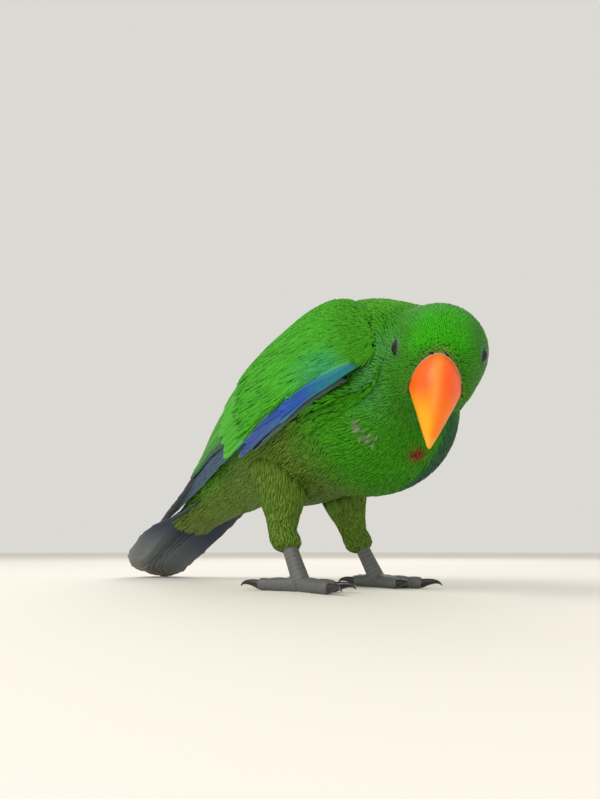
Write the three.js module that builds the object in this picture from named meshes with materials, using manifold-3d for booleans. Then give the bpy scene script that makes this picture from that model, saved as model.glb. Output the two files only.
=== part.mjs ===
// A male eclectus parrot at life size. It stands low on both feet with the tip of its tail on
// the ground, leans forward, and turns its head down and to its right.
// Units are millimetres and degrees, +Z is up, and the bird faces +X with its left side at +Y.
import * as THREE from 'three';
import { mergeVertices } from 'three/addons/utils/BufferGeometryUtils.js';
import Module from 'manifold-3d';

const wasm = await Module();
wasm.setup();

// Driving dimensions
const GAP = 0.3; // clearance between neighbouring pieces
const TAIL_TIP_HEIGHT = 16; // height of the body axis above the ground at the tip of the tail
const BODY_PITCH = 18.2; // rise of the body axis, from tail tip to wrists
const WRIST_FROM_TAIL_TIP = 282;
const HEAD_FROM_WRISTS = [27.5, -22.5, -4.5]; // from the midpoint of the wrists
const HEAD_YAW = -56; // turned to the bird's right
const HEAD_PITCH = -26; // bowed
const HEAD_ROLL = -10; // left eye lower
const HEAD_HALF_WIDTH = 20.5;
const HEAD_JOIN = 26; // from the middle of the head to where the neck starts
const NECK_JOIN = 38; // from the middle of the neck to where the trunk starts
const TAIL_JOIN = 118; // from the tail tip to where the tail leaves the trunk
const TRUNK_HALF_WIDTH = 44;
const EYE_DIAMETER = 10;
const EYE_CENTRE = [7, 15, 4]; // forward, to the side and up from the middle of the head
const TAIL_WIDTH = 47;
const WING_TIP_FROM_TAIL_TIP = 60;
const ANKLE = [198, 27, 29]; // along, to the side and above the ground
const FOOT = [214, 28]; // where the toes meet

const radians = THREE.MathUtils.degToRad;
const lerp = THREE.MathUtils.lerp;
const clamp = THREE.MathUtils.clamp;
const vector = (x, y, z) => new THREE.Vector3(x, y, z);

// Frames: forward, left and up directions at an origin

function makeFrame(origin, yaw, pitch, roll) {
  const forward = vector(
    Math.cos(radians(pitch)) * Math.cos(radians(yaw)),
    Math.cos(radians(pitch)) * Math.sin(radians(yaw)),
    Math.sin(radians(pitch)),
  );
  const left = vector(-Math.sin(radians(yaw)), Math.cos(radians(yaw)), 0);
  const up = forward.clone().cross(left);
  left.applyAxisAngle(forward, radians(roll));
  up.applyAxisAngle(forward, radians(roll));
  return { origin, forward, left, up };
}

function at(frame, forward, left, up) {
  return frame.origin.clone()
    .addScaledVector(frame.forward, forward)
    .addScaledVector(frame.left, left)
    .addScaledVector(frame.up, up);
}

const bodyFrame = makeFrame(vector(0, 0, TAIL_TIP_HEIGHT), 0, BODY_PITCH, 0);
const body = (s, y, n) => at(bodyFrame, s, y, n);
const headFrame = makeFrame(
  body(WRIST_FROM_TAIL_TIP, 0, 0).add(vector(...HEAD_FROM_WRISTS)),
  HEAD_YAW,
  HEAD_PITCH,
  HEAD_ROLL,
);
const head = (f, l, u) => at(headFrame, f, l, u);

// A smooth curve through rows of [position, value, value...], read at a position.
function profile(rows, position) {
  const last = rows.length - 1;
  let i = 0;
  while (i < last - 1 && position > rows[i + 1][0]) i += 1;
  const span = rows[i + 1][0] - rows[i][0];
  const t = clamp((position - rows[i][0]) / span, 0, 1);
  const slope = (k, c) => {
    const a = rows[Math.max(k - 1, 0)];
    const b = rows[Math.min(k + 1, last)];
    return ((b[c] - a[c]) / (b[0] - a[0])) * span;
  };
  return rows[i].slice(1).map((value, k) => {
    const c = k + 1;
    const next = rows[i + 1][c];
    return value * (2 * t ** 3 - 3 * t ** 2 + 1) + slope(i, c) * (t ** 3 - 2 * t ** 2 + t)
      + next * (3 * t ** 2 - 2 * t ** 3) + slope(i + 1, c) * (t ** 3 - t ** 2);
  });
}

// Distance fields of the flesh with its short feathers, negative inside

function ellipsoid(frame, centre, radii) {
  const middle = at(frame, ...centre);
  return (p) => {
    const d = p.clone().sub(middle);
    const local = vector(d.dot(frame.forward), d.dot(frame.left), d.dot(frame.up));
    const k0 = Math.hypot(local.x / radii[0], local.y / radii[1], local.z / radii[2]);
    const k1 = Math.hypot(local.x / radii[0] ** 2, local.y / radii[1] ** 2, local.z / radii[2] ** 2);
    return k1 < 1e-9 ? -Math.min(...radii) : (k0 * (k0 - 1)) / k1;
  };
}

function taperedCapsule(a, b, radiusA, radiusB) {
  const along = b.clone().sub(a);
  return (p) => {
    const t = clamp(p.clone().sub(a).dot(along) / along.lengthSq(), 0, 1);
    return p.distanceTo(a.clone().addScaledVector(along, t)) - lerp(radiusA, radiusB, t);
  };
}

function smoothUnion(fields, blend) {
  return (p) => fields.reduce((nearest, field) => {
    const next = field(p);
    const h = Math.max(blend - Math.abs(nearest - next), 0) / blend;
    return Math.min(nearest, next) - h * h * blend / 4;
  }, 1e9);
}

const trunkField = smoothUnion([
  ellipsoid(bodyFrame, [216, 0, 6], [74, TRUNK_HALF_WIDTH, 41]), // belly and back
  ellipsoid(bodyFrame, [248, 0, -5], [44, TRUNK_HALF_WIDTH - 1.5, 35]), // breast
  ellipsoid(bodyFrame, [250, 0, -16], [36, TRUNK_HALF_WIDTH - 9.5, 31]), // lower breast
  ellipsoid(bodyFrame, [150, 0, 5], [60, 27, 20]), // rump and vent
  ellipsoid(bodyFrame, [254, 0, 17.5], [42, TRUNK_HALF_WIDTH - 2, 35]), // mantle
  taperedCapsule(body(262, 0, 14), head(-12, 0, 1), 27, 21), // neck
  ellipsoid(bodyFrame, [285, -18, -1], [19, 18, 27]), // the fold on the inside of the turned neck
], 14);
const headField = smoothUnion([
  ellipsoid(headFrame, [-1, 0, 2], [25, HEAD_HALF_WIDTH - 1.5, 20]), // crown and sides
  ellipsoid(headFrame, [4, 5.2, -9], [14, 10.8, 13]), // left cheek
  ellipsoid(headFrame, [4, -5.2, -9], [14, 10.8, 13]), // right cheek
  ellipsoid(headFrame, [8, 0, 3], [12, 13, 12]), // forehead
], 6);
const fleshField = smoothUnion([trunkField, headField], 8);

// How far the surface of a field, or of its copy moved out by a margin, lies from a point.
function reach(field, from, direction, margin, furthest = 110) {
  const step = 1.5;
  const p = vector(0, 0, 0);
  const value = (r) => field(p.copy(from).addScaledVector(direction, r)) - margin;
  let high = step;
  while (high < furthest && value(high) < 0) high += step;
  if (high >= furthest) return furthest;
  let low = high - step;
  for (let i = 0; i < 12; i += 1) {
    const middle = (low + high) / 2;
    if (value(middle) < 0) low = middle;
    else high = middle;
  }
  return (low + high) / 2;
}

// Closed meshes and solids

function indexedGeometry(points, index) {
  const volume = index.reduce((sum, _, i) => {
    if (i % 3) return sum;
    const [a, b, c] = [points[index[i]], points[index[i + 1]], points[index[i + 2]]];
    return sum + a.dot(b.clone().cross(c));
  }, 0);
  const geometry = new THREE.BufferGeometry();
  const positions = points.flatMap((p) => [p.x, p.y, p.z]);
  geometry.setAttribute('position', new THREE.Float32BufferAttribute(positions, 3));
  geometry.setIndex(volume > 0 ? index : [...index].reverse());
  return geometry;
}

// Rings of points joined side by side, with a point at each end.
function closedLoft(rings, start, end) {
  const around = rings[0].length;
  const points = [start, ...rings.flat(), end];
  const last = points.length - 1;
  const index = [];
  for (let j = 0; j < around; j += 1) {
    const k = (j + 1) % around;
    index.push(0, 1 + k, 1 + j);
    index.push(last, last - around + j, last - around + k);
    for (let i = 0; i + 1 < rings.length; i += 1) {
      const a = 1 + i * around;
      const b = a + around;
      index.push(a + j, a + k, b + k, a + j, b + k, b + j);
    }
  }
  return indexedGeometry(points, index);
}

// A sheet with a thickness: two grids of points of one size, joined round their edges. Both faces
// are divided alike.
function closedSheet(top, bottom) {
  const rows = top.length;
  const columns = top[0].length;
  const points = [...top.flat(), ...bottom.flat()];
  const under = rows * columns;
  const index = [];
  for (let i = 0; i + 1 < rows; i += 1) {
    for (let j = 0; j + 1 < columns; j += 1) {
      const a = i * columns + j;
      const b = a + columns;
      index.push(a, a + 1, b + 1, a, b + 1, b);
      index.push(under + a, under + b + 1, under + a + 1, under + a, under + b, under + b + 1);
    }
  }
  const rim = [];
  for (let j = 0; j + 1 < columns; j += 1) rim.push(j);
  for (let i = 0; i + 1 < rows; i += 1) rim.push(i * columns + columns - 1);
  for (let j = columns - 1; j > 0; j -= 1) rim.push((rows - 1) * columns + j);
  for (let i = rows - 1; i > 0; i -= 1) rim.push(i * columns);
  rim.forEach((a, k) => {
    const b = rim[(k + 1) % rim.length];
    index.push(b, a, under + a, b, under + a, under + b);
  });
  return indexedGeometry(points, index);
}

function toSolid(geometry) {
  geometry.deleteAttribute('normal');
  geometry.deleteAttribute('uv');
  const merged = mergeVertices(geometry, 1e-4);
  return new wasm.Manifold(new wasm.Mesh({
    numProp: 3,
    vertProperties: new Float32Array(merged.attributes.position.array),
    triVerts: new Uint32Array(merged.index.array),
  }));
}

function toGeometry(solid) {
  const mesh = solid.getMesh();
  const geometry = new THREE.BufferGeometry();
  geometry.setAttribute('position', new THREE.BufferAttribute(mesh.vertProperties, 3));
  geometry.setIndex(new THREE.BufferAttribute(mesh.triVerts, 1));
  return geometry;
}

const joined = (solids) => solids.reduce((sum, solid) => sum.add(solid));
const cutAway = (solid, cutters) => cutters.reduce((rest, cutter) => rest.subtract(cutter), solid);

function largestPiece(solid) {
  return solid.decompose().reduce((a, b) => (a.volume() > b.volume() ? a : b));
}

// The part of a solid that lies past a plane, on the side its normal points to.
function pastPlane(solid, point, normal) {
  const unit = normal.clone().normalize();
  return solid.trimByPlane(unit.toArray(), unit.dot(point));
}

function ball(centre, radius, segments = 32) {
  const geometry = new THREE.SphereGeometry(radius, segments, segments / 2);
  return toSolid(geometry.translate(centre.x, centre.y, centre.z));
}

// A rod with round ends and a radius of its own at each end.
function roundedRod(a, b, radiusA, radiusB, segments = 8) {
  const length = a.distanceTo(b);
  const outline = [];
  const quarter = 2;
  for (let i = 0; i <= quarter; i += 1) {
    const angle = (Math.PI / 2) * (1 - i / quarter);
    outline.push(new THREE.Vector2(radiusA * Math.cos(angle), -radiusA * Math.sin(angle)));
  }
  for (let i = 0; i <= quarter; i += 1) {
    const angle = (Math.PI / 2) * (i / quarter);
    outline.push(new THREE.Vector2(radiusB * Math.cos(angle), length + radiusB * Math.sin(angle)));
  }
  outline[0].x = 0;
  outline[outline.length - 1].x = 0;
  const geometry = new THREE.LatheGeometry(outline, segments);
  const turn = new THREE.Quaternion().setFromUnitVectors(
    vector(0, 1, 0),
    b.clone().sub(a).normalize(),
  );
  geometry.applyQuaternion(turn).translate(a.x, a.y, a.z);
  return toSolid(geometry);
}

// Trunk, neck and head

const FLESH_FACETS = 26;
const FLESH_STEPS = 20;
const CAP_TILTS = [67, 44, 22]; // turned from the plane of the first or last ring

function fleshPath() {
  const stops = [ // centre, yaw, pitch, roll
    [body(132, 0, -2), 0, BODY_PITCH, 0],
    [body(175, 0, 0), 0, BODY_PITCH, 0],
    [body(220, 0, 4), 0, BODY_PITCH, 0],
    [body(248, 0, 8), -8, BODY_PITCH - 4, -1],
    [body(272, -3, 6), -26, -2, -4],
    [head(-12, 0, 1), -44, -18, -8],
    [head(3, 0, 0), HEAD_YAW, HEAD_PITCH, HEAD_ROLL],
  ];
  const curve = new THREE.CatmullRomCurve3(stops.map((stop) => stop[0]), false, 'centripetal');
  return (t) => {
    const span = t * (stops.length - 1);
    const i = Math.min(Math.floor(span), stops.length - 2);
    const turn = (k) => lerp(stops[i][k], stops[i + 1][k], span - i);
    return makeFrame(curve.getPoint(t), turn(1), turn(2), turn(3));
  };
}

function fleshRing(frame, tilt, margin) {
  const ring = [];
  for (let j = 0; j < FLESH_FACETS; j += 1) {
    const angle = (2 * Math.PI * j) / FLESH_FACETS;
    const direction = vector(0, 0, 0)
      .addScaledVector(frame.left, Math.cos(angle) * Math.cos(radians(tilt)))
      .addScaledVector(frame.up, Math.sin(angle) * Math.cos(radians(tilt)))
      .addScaledVector(frame.forward, Math.sin(radians(tilt)));
    const distance = reach(fleshField, frame.origin, direction, margin);
    ring.push(frame.origin.clone().addScaledVector(direction, distance));
  }
  return ring;
}

function fleshSolid(margin) {
  const path = fleshPath();
  const first = path(0);
  const last = path(1);
  const rings = CAP_TILTS.map((tilt) => fleshRing(first, -tilt, margin));
  for (let i = 0; i <= FLESH_STEPS; i += 1) rings.push(fleshRing(path(i / FLESH_STEPS), 0, margin));
  rings.push(...[...CAP_TILTS].reverse().map((tilt) => fleshRing(last, tilt, margin)));
  const endPoint = (frame, direction) => frame.origin.clone()
    .addScaledVector(direction, reach(fleshField, frame.origin, direction, margin));
  return toSolid(closedLoft(
    rings,
    endPoint(first, first.forward.clone().negate()),
    endPoint(last, last.forward),
  ));
}

// The head and what lies round it, as seen from the middle of the head.
function headSolid(margin) {
  const around = 26;
  const bands = 16;
  const furthest = HEAD_JOIN + 6;
  const point = (polar, angle) => {
    const direction = vector(0, 0, 0)
      .addScaledVector(headFrame.forward, -Math.cos(polar))
      .addScaledVector(headFrame.left, Math.sin(polar) * Math.cos(angle))
      .addScaledVector(headFrame.up, Math.sin(polar) * Math.sin(angle));
    const distance = reach(fleshField, headFrame.origin, direction, margin, furthest);
    return headFrame.origin.clone().addScaledVector(direction, distance);
  };
  const rings = [];
  for (let i = 1; i < bands; i += 1) {
    const ring = [];
    for (let j = 0; j < around; j += 1) {
      ring.push(point((Math.PI * i) / bands, (2 * Math.PI * j) / around));
    }
    rings.push(ring);
  }
  return toSolid(closedLoft(rings, point(0, 0), point(Math.PI, 0)));
}

const JOIN_FACETS = 16; // round the balls on which the neck meets trunk and head

const flesh = fleshSolid(0);
const fleshWithClearance = fleshSolid(GAP + 0.1);
const headWithClearance = headSolid(GAP + 0.1);
const neckCentre = body(275, -13, 3).add(vector(16, 0, 0));
const tailJoin = body(TAIL_JOIN, 0, 0);

function torso() {
  const ahead = pastPlane(flesh, tailJoin, bodyFrame.forward);
  return largestPiece(cutAway(ahead, [ball(neckCentre, NECK_JOIN + GAP, JOIN_FACETS)]));
}

function neck() {
  const inBall = flesh.intersect(ball(neckCentre, NECK_JOIN, JOIN_FACETS));
  return largestPiece(cutAway(inBall, [ball(headFrame.origin, HEAD_JOIN + GAP, JOIN_FACETS)]));
}

const eyeCentre = (side) => head(EYE_CENTRE[0], side * EYE_CENTRE[1], EYE_CENTRE[2]);

const EYE_FACETS = 12;
const LID_RADIUS = 4.7;
const LID_THICKNESS = 1;
const LID_STAND_OFF = 3.6; // from the middle of the eye
const EYE_TURN = 0.25; // forward, as a share of sideways

function eyelid(side) {
  const ring = new THREE.TorusGeometry(LID_RADIUS, LID_THICKNESS, 6, EYE_FACETS);
  const outward = headFrame.left.clone().multiplyScalar(side)
    .addScaledVector(headFrame.forward, EYE_TURN).normalize();
  ring.applyQuaternion(new THREE.Quaternion().setFromUnitVectors(vector(0, 0, 1), outward));
  const centre = eyeCentre(side).addScaledVector(outward, LID_STAND_OFF);
  return toSolid(ring.translate(centre.x, centre.y, centre.z));
}

const eyeSocket = (side) => ball(eyeCentre(side), EYE_DIAMETER / 2 + GAP, EYE_FACETS);

// The point of the head's surface that a ray from its middle meets.
function onHead(forward, left, up) {
  const ray = head(forward, left, up).sub(headFrame.origin).normalize();
  return headFrame.origin.clone()
    .addScaledVector(ray, reach(fleshField, headFrame.origin, ray, 0));
}

const nostril = (side) => ball(onHead(20, side * 5.2, 7), 1.5, 6);

// The line of the mouth, from the corner of the bill back into the cheek.
function mouthLine(side) {
  const points = [[15, 9, -10], [9, 13, -11.5], [4, 16, -12]];
  const [front, middle, back] = points.map(([f, l, u]) => onHead(f, side * l, u));
  return roundedRod(front, middle, 1.3, 1.1, 6).add(roundedRod(middle, back, 1.1, 0.5, 6));
}

function headNode() {
  const round = headSolid(0).intersect(ball(headFrame.origin, HEAD_JOIN, JOIN_FACETS));
  const withLids = joined([round, eyelid(1), eyelid(-1)]);
  const openings = [1, -1].flatMap((side) => [eyeSocket(side), nostril(side), mouthLine(side)]);
  return largestPiece(cutAway(withLids, openings));
}

// Bill

// A bill half: arches across the middle plane of the head, fanned from a pivot at the gape. A row
// holds the ray's angle, its inner and outer distance, and half the arch's width.
function billSolid(pivot, rows, steps) {
  const [first, last] = [rows[0][0], rows[rows.length - 1][0]];
  const rings = [];
  const arch = 10;
  for (let i = 0; i <= steps; i += 1) {
    const angle = lerp(first, last, i / steps);
    const [inner, outer, halfWidth] = profile(rows, angle);
    const along = (distance, side) => head(
      pivot[0] + distance * Math.cos(radians(angle)),
      side,
      pivot[1] - distance * Math.sin(radians(angle)),
    );
    const ring = [];
    for (let j = 0; j <= arch; j += 1) {
      const turn = (Math.PI * j) / arch;
      const distance = inner + (outer - inner) * Math.sin(turn) ** 0.9;
      ring.push(along(distance, -halfWidth * Math.cos(turn)));
    }
    rings.push(ring);
  }
  const middle = (ring) => ring.reduce((sum, p) => sum.add(p), vector(0, 0, 0))
    .multiplyScalar(1 / ring.length);
  return toSolid(closedLoft(rings, middle(rings[0]), middle(rings[rings.length - 1])));
}

const BILL_PIVOT = [10, -13];

function upperBill() {
  const rows = [ // degrees below straight ahead, inner and outer distance, half width
    [-78, 5, 17.5, 4.5],
    [-60, 5, 21.5, 7.8],
    [-38, 5, 25.5, 10],
    [-14, 5, 27.5, 10.4],
    [2, 9, 28.8, 9],
    [14, 15, 30, 6.6],
    [24, 21.5, 31.2, 3.9],
    [31, 29, 32.2, 1.1],
  ];
  return largestPiece(cutAway(billSolid(BILL_PIVOT, rows, 12), [headWithClearance]));
}

function lowerBill() {
  const rows = [
    [10, 3, 11, 8],
    [28, 3, 15.5, 8.6],
    [52, 3, 15, 8],
    [80, 3, 11.5, 6],
  ];
  return largestPiece(cutAway(billSolid(BILL_PIVOT, rows, 7), [headWithClearance]));
}

// Wings

// Half width, height and depth of the folded wings' outer form, by distance from the tail tip.
const WING_FORM = [
  [40, 16, 12, 6],
  [70, 22.5, 16, 10],
  [100, 26, 23, 16],
  [130, 31, 33.5, 24],
  [160, 40, 44.5, 32],
  [200, 49, 54, 36],
  [240, 50.5, 56, 38],
  [270, 48.5, 51, 37.5],
  [296, 39, 38.5, 33.5],
];
const WING_ROUNDING = 2.3; // exponent of the section's outline
const WING_INSET = 3; // from the outer form to the inner one, on which the feathers lie

// Lower and upper edge of the folded wing, in degrees up from level at the side.
const WING_EDGES = [
  [WING_TIP_FROM_TAIL_TIP, 18, 36],
  [80, 11, 54],
  [105, -2, 68],
  [140, -8, 74],
  [200, -12, 70],
  [250, -14, 64],
  [280, -15, 46],
  [291, -4, 24],
];

// How far the lower edge of the left wing hangs below that of the right one, in degrees.
const LEFT_WING_DROOP = [
  [150, 0],
  [200, 4],
  [245, 8],
  [272, 0],
  [291, -2],
];

function innerFormRadius(s, angle) {
  const [halfWidth, height, depth] = profile(WING_FORM, s);
  const across = Math.abs(Math.cos(angle)) / halfWidth;
  const upright = Math.abs(Math.sin(angle)) / (angle > 0 ? height : depth);
  return (across ** WING_ROUNDING + upright ** WING_ROUNDING) ** (-1 / WING_ROUNDING) - WING_INSET;
}

// A point on a folded wing: s along the body from the tail tip, share across from its lower edge
// to its upper one, an offset to the side of that, and a height above the trunk or, behind it,
// above the inner form.
function wingPoint(side, s, share, offset, height) {
  const [low, high] = profile(WING_EDGES, s);
  const droop = side > 0 ? profile(LEFT_WING_DROOP, s)[0] : 0;
  const middle = radians(lerp(low - droop, high, share));
  const angle = middle + offset / innerFormRadius(s, middle);
  const direction = vector(0, 0, 0)
    .addScaledVector(bodyFrame.left, side * Math.cos(angle))
    .addScaledVector(bodyFrame.up, Math.sin(angle));
  const origin = body(s, 0, 0);
  const trunk = trunkField(origin) < 0 ? reach(trunkField, origin, direction, GAP) : 0;
  const form = innerFormRadius(s, angle);
  const blend = Math.max(4 - Math.abs(trunk - form), 0) / 4;
  return origin.addScaledVector(direction, Math.max(trunk, form) + blend * blend + height);
}

// A feather on a surface: a thin plank with a raised shaft and a rounded tip. Its lower edge
// leans out and its upper edge in, so that each one laps the one above it. Its underside lies
// at a height above the surface that depends on the place along the body.
const VANE_STATIONS = [0, 0.35, 0.8, 1];
const VANE_OUTLINE = [0.8, 1, 0.86, 0.24];
const SHAFT_HEIGHT = 0.25;

function vane(surface, { root, tip, width, rise, lean, underside }) {
  const face = (under) => VANE_STATIONS.map((t, i) => [-1, 0, 1].map((edge) => {
    const s = lerp(root[0], tip[0], t);
    const top = lerp(rise[0], rise[1], t) - lean * edge + (edge === 0 ? SHAFT_HEIGHT : 0);
    return surface(
      s,
      lerp(root[1], tip[1], t),
      edge * VANE_OUTLINE[i] * width / 2,
      under ? underside(s, top) : top,
    );
  }));
  return toSolid(closedSheet(face(false), face(true)));
}

// Rows of feathers on a wing, from the tip of the wing to the shoulder. Roots and tips give the
// place of the first and the last feather of a row, and the others lie between.
const WING_ROWS = [
  { // primaries
    count: 5, roots: [[205, 0.09], [200, 0.5]], tips: [[60, 0.5], [114, 0.62]],
    width: [10, 13], rise: [1.2, 1.3], step: 0.35, lean: 0.25,
  },
  { // secondaries
    count: 6, roots: [[205, 0.2], [215, 0.94]], tips: [[112, 0.6], [140, 0.94]],
    width: [13, 14], rise: [1.8, 3.1], step: 0, lean: 0.45,
  },
  { // primary coverts, at the lower edge
    count: 3, roots: [[262, 0.05], [262, 0.2]], tips: [[196, 0.05], [205, 0.22]],
    width: [9, 9], rise: [2, 3.3], step: 0, lean: 0.4,
  },
  { // greater coverts
    count: 5, roots: [[240, 0.24], [240, 0.92]], tips: [[178, 0.24], [174, 0.92]],
    width: [16, 16], rise: [2.4, 4], step: 0, lean: 0.45,
  },
  { // alula and the coverts at the bend of the wing
    count: 2, roots: [[284, 0.2], [283, 0.42]], tips: [[232, 0.07], [240, 0.2]],
    width: [9, 9], rise: [2.2, 4.1], step: 0, lean: 0.4,
  },
  { // median coverts
    count: 5, roots: [[262, 0.24], [258, 0.92]], tips: [[210, 0.26], [204, 0.92]],
    width: [16, 16], rise: [2.8, 4.7], step: 0, lean: 0.4,
  },
  { // lesser coverts
    count: 4, roots: [[280, 0.32], [274, 0.88]], tips: [[238, 0.3], [232, 0.9]],
    width: [18, 18], rise: [3, 5.2], step: 0, lean: 0.4,
  },
  { // smallest coverts, at the shoulder
    count: 3, roots: [[288, 0.38], [284, 0.84]], tips: [[262, 0.34], [257, 0.88]],
    width: [22, 22], rise: [2.2, 5.4], step: 0, lean: 0.35,
  },
];
const FREE_FEATHER = 1.2; // thickness of a flight feather behind the trunk
const ROOT_DEPTH = 1.2; // how far a feather over the trunk reaches in, before the trunk is cut away
const ARM_THICKNESS = 2.2;

function wingRow(side, row) {
  const surface = (s, share, offset, height) => wingPoint(side, s, share, offset, height);
  return Array.from({ length: row.count }, (_, i) => {
    const share = i / (row.count - 1);
    const between = (ends) => [0, 1].map((k) => lerp(ends[0][k], ends[1][k], share));
    return vane(surface, {
      root: between(row.roots),
      tip: between(row.tips),
      width: lerp(row.width[0], row.width[1], share),
      rise: row.rise.map((height) => height + row.step * i),
      lean: row.lean,
      underside: (s, top) => lerp(
        top - FREE_FEATHER,
        -ROOT_DEPTH,
        THREE.MathUtils.smoothstep(s, TAIL_JOIN - 4, TAIL_JOIN + 26),
      ),
    });
  });
}

// The folded arm under the coverts.
function wingArm(side) {
  const stations = 9;
  const columns = 6;
  const face = (top) => Array.from({ length: stations + 1 }, (_, i) => {
    const share = i / stations;
    const taper = Math.sin(Math.PI * lerp(0.06, 0.97, share)) ** 0.6;
    return Array.from({ length: columns + 1 }, (__, j) => {
      const round = 0.4 + 0.6 * Math.sin((Math.PI * j) / columns) ** 0.5;
      const height = top ? ARM_THICKNESS * taper * round : -ROOT_DEPTH;
      return wingPoint(side, lerp(150, 291, share), j / columns, 0, height);
    });
  });
  return toSolid(closedSheet(face(true), face(false)));
}

function wing(side) {
  const feathers = WING_ROWS.flatMap((row) => wingRow(side, row));
  return largestPiece(cutAway(joined([wingArm(side), ...feathers]), [fleshWithClearance]));
}

// Tail

const TAIL_PAIRS = 6;
const TAIL_FEATHER_WIDTH = 18;
const TAIL_FEATHER_THICKNESS = 1.3;
const TAIL_FEATHER_STEP = 0.95; // each pair lies this much under the pair inside it
const TAIL_TOP = 3; // height of the middle pair above the body axis
const TAIL_ARCH = 3; // fall of the tail from its middle to its sides
const TAIL_DROOP = 16; // and from its root to its tip
const TAIL_ROLL = 18; // its left edge hangs lower, towards the tip

// A point of the straight tail, moved as the real one bends down and turns.
function tailBend(s, y, n) {
  const share = Math.max(1 - s / TAIL_JOIN, 0);
  const roll = radians(TAIL_ROLL) * THREE.MathUtils.smoothstep(share, 0.15, 0.65);
  return body(
    s,
    y * Math.cos(roll) + n * Math.sin(roll),
    n * Math.cos(roll) - y * Math.sin(roll) - TAIL_DROOP * share ** 3,
  );
}

// A point on the tail: s from its tip, y to the left, and a height above the middle of the body.
function tailPoint(s, y, offset, height) {
  const across = y + offset;
  return tailBend(s, across, height - TAIL_ARCH * (across / (TAIL_WIDTH / 2)) ** 2);
}

function tailFeathers() {
  const feathers = [];
  for (let pair = 0; pair < TAIL_PAIRS; pair += 1) {
    const share = pair / (TAIL_PAIRS - 1);
    const height = TAIL_TOP - TAIL_FEATHER_STEP * pair;
    [-1, 1].forEach((side) => {
      feathers.push(vane(tailPoint, {
        root: [TAIL_JOIN - 4, side * lerp(2, 12, share)],
        tip: [lerp(0, 10, share ** 2), side * lerp(2.5, (TAIL_WIDTH - TAIL_FEATHER_WIDTH) / 2, share)],
        width: TAIL_FEATHER_WIDTH,
        rise: [height, height],
        lean: 0,
        underside: (s, top) => top - TAIL_FEATHER_THICKNESS,
      }));
    });
  }
  return feathers;
}

// Coverts round the root of the tail, by angle: from the rump down onto the tail.
const COVERT_ANGLES = [90, 58, 122, 26, -90, 154, -60, -120, -30, -150];
const COVERT_LENGTHS = [38, 31]; // by turns
const COVERT_WIDTH = 12;
const COVERT_THICKNESS = 2.4;
const COVERT_ENDS = [15, 6.5]; // half axes of the oval on which the tips lie

function tailCoverts() {
  const start = TAIL_JOIN - GAP - 0.5;
  const surface = (s, degrees, offset, height) => {
    const share = (start - s) / COVERT_LENGTHS[0];
    const angle = radians(degrees);
    const direction = vector(0, 0, 0)
      .addScaledVector(bodyFrame.left, Math.cos(angle))
      .addScaledVector(bodyFrame.up, Math.sin(angle));
    const rump = reach(trunkField, body(start, 0, 0), direction, 0);
    const end = 1 / Math.hypot(Math.cos(angle) / COVERT_ENDS[0], Math.sin(angle) / COVERT_ENDS[1]);
    const radius = lerp(rump, end, share ** 1.2);
    const turned = angle + offset / radius;
    const distance = radius + height;
    return tailBend(s, distance * Math.cos(turned), distance * Math.sin(turned));
  };
  return COVERT_ANGLES.map((angle, i) => vane(surface, {
    root: [start, angle],
    tip: [start - COVERT_LENGTHS[i % 2], angle],
    width: COVERT_WIDTH,
    rise: [-0.6, 0.9],
    lean: Math.abs(angle) > 90 ? 0.2 : -0.2,
    underside: (s, top) => top - COVERT_THICKNESS,
  }));
}

function tailNode() {
  const root = pastPlane(
    flesh,
    body(TAIL_JOIN - GAP, 0, 0),
    bodyFrame.forward.clone().negate(),
  );
  const whole = joined([root, ...tailFeathers(), ...tailCoverts()]);
  return largestPiece(pastPlane(whole, vector(0, 0, 0), vector(0, 0, 1)));
}

// Legs

const HIP = [196, 21, -16];
const THIGH_RADII = [19, 6.2]; // at the hip and at the ankle
const SHANK_RADII = [4.4, 4.8]; // at the ankle and at the foot
const TOES = [ // direction from straight ahead towards the outer side, and length
  [14, 26],
  [-16, 19],
  [158, 24],
  [196, 14],
];
const TOE_RADIUS = 3.4;
const TOE_ROOT_RADIUS = 4;
const TOE_SINK = 0.5; // the toes' middles lie this much lower than their radius, for flat soles
const CLAW_LENGTH = 10;
const CLAW_RADIUS = 2.2;

const hip = (side) => body(HIP[0], side * HIP[1], HIP[2]);
const ankle = (side) => vector(ANKLE[0], side * ANKLE[1], ANKLE[2]);
const footCentre = (side) => vector(FOOT[0], side * FOOT[1], TOE_ROOT_RADIUS - TOE_SINK);

function thigh(side) {
  const rod = roundedRod(hip(side), ankle(side), ...THIGH_RADII, 16);
  const trimmed = pastPlane(rod, ankle(side), hip(side).sub(ankle(side)));
  return largestPiece(cutAway(trimmed, [fleshWithClearance]));
}

function toePoint(side, toe, distance, height) {
  const angle = radians(side * toe[0]);
  const direction = vector(Math.cos(angle), Math.sin(angle), 0);
  return footCentre(side).setZ(height).addScaledVector(direction, distance);
}

function foot(side) {
  const down = ankle(side).sub(hip(side)).normalize();
  const top = ankle(side).addScaledVector(down, GAP);
  const inThigh = top.clone().addScaledVector(down, -SHANK_RADII[0]);
  const shank = pastPlane(roundedRod(inThigh, footCentre(side), ...SHANK_RADII), top, down);
  const toes = TOES.flatMap((toe) => {
    const knuckle = toePoint(side, toe, toe[1] * 0.5, TOE_RADIUS - TOE_SINK);
    const end = toePoint(side, toe, toe[1], TOE_RADIUS - TOE_SINK);
    return [
      roundedRod(footCentre(side), knuckle, TOE_ROOT_RADIUS, TOE_RADIUS),
      pastPlane(
        roundedRod(knuckle, end, TOE_RADIUS, TOE_RADIUS - TOE_SINK),
        end,
        toePoint(side, toe, 0, 0).sub(toePoint(side, toe, 1, 0)),
      ),
    ];
  });
  const whole = pastPlane(joined([shank, ...toes]), vector(0, 0, 0), vector(0, 0, 1));
  return largestPiece(whole);
}

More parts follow.
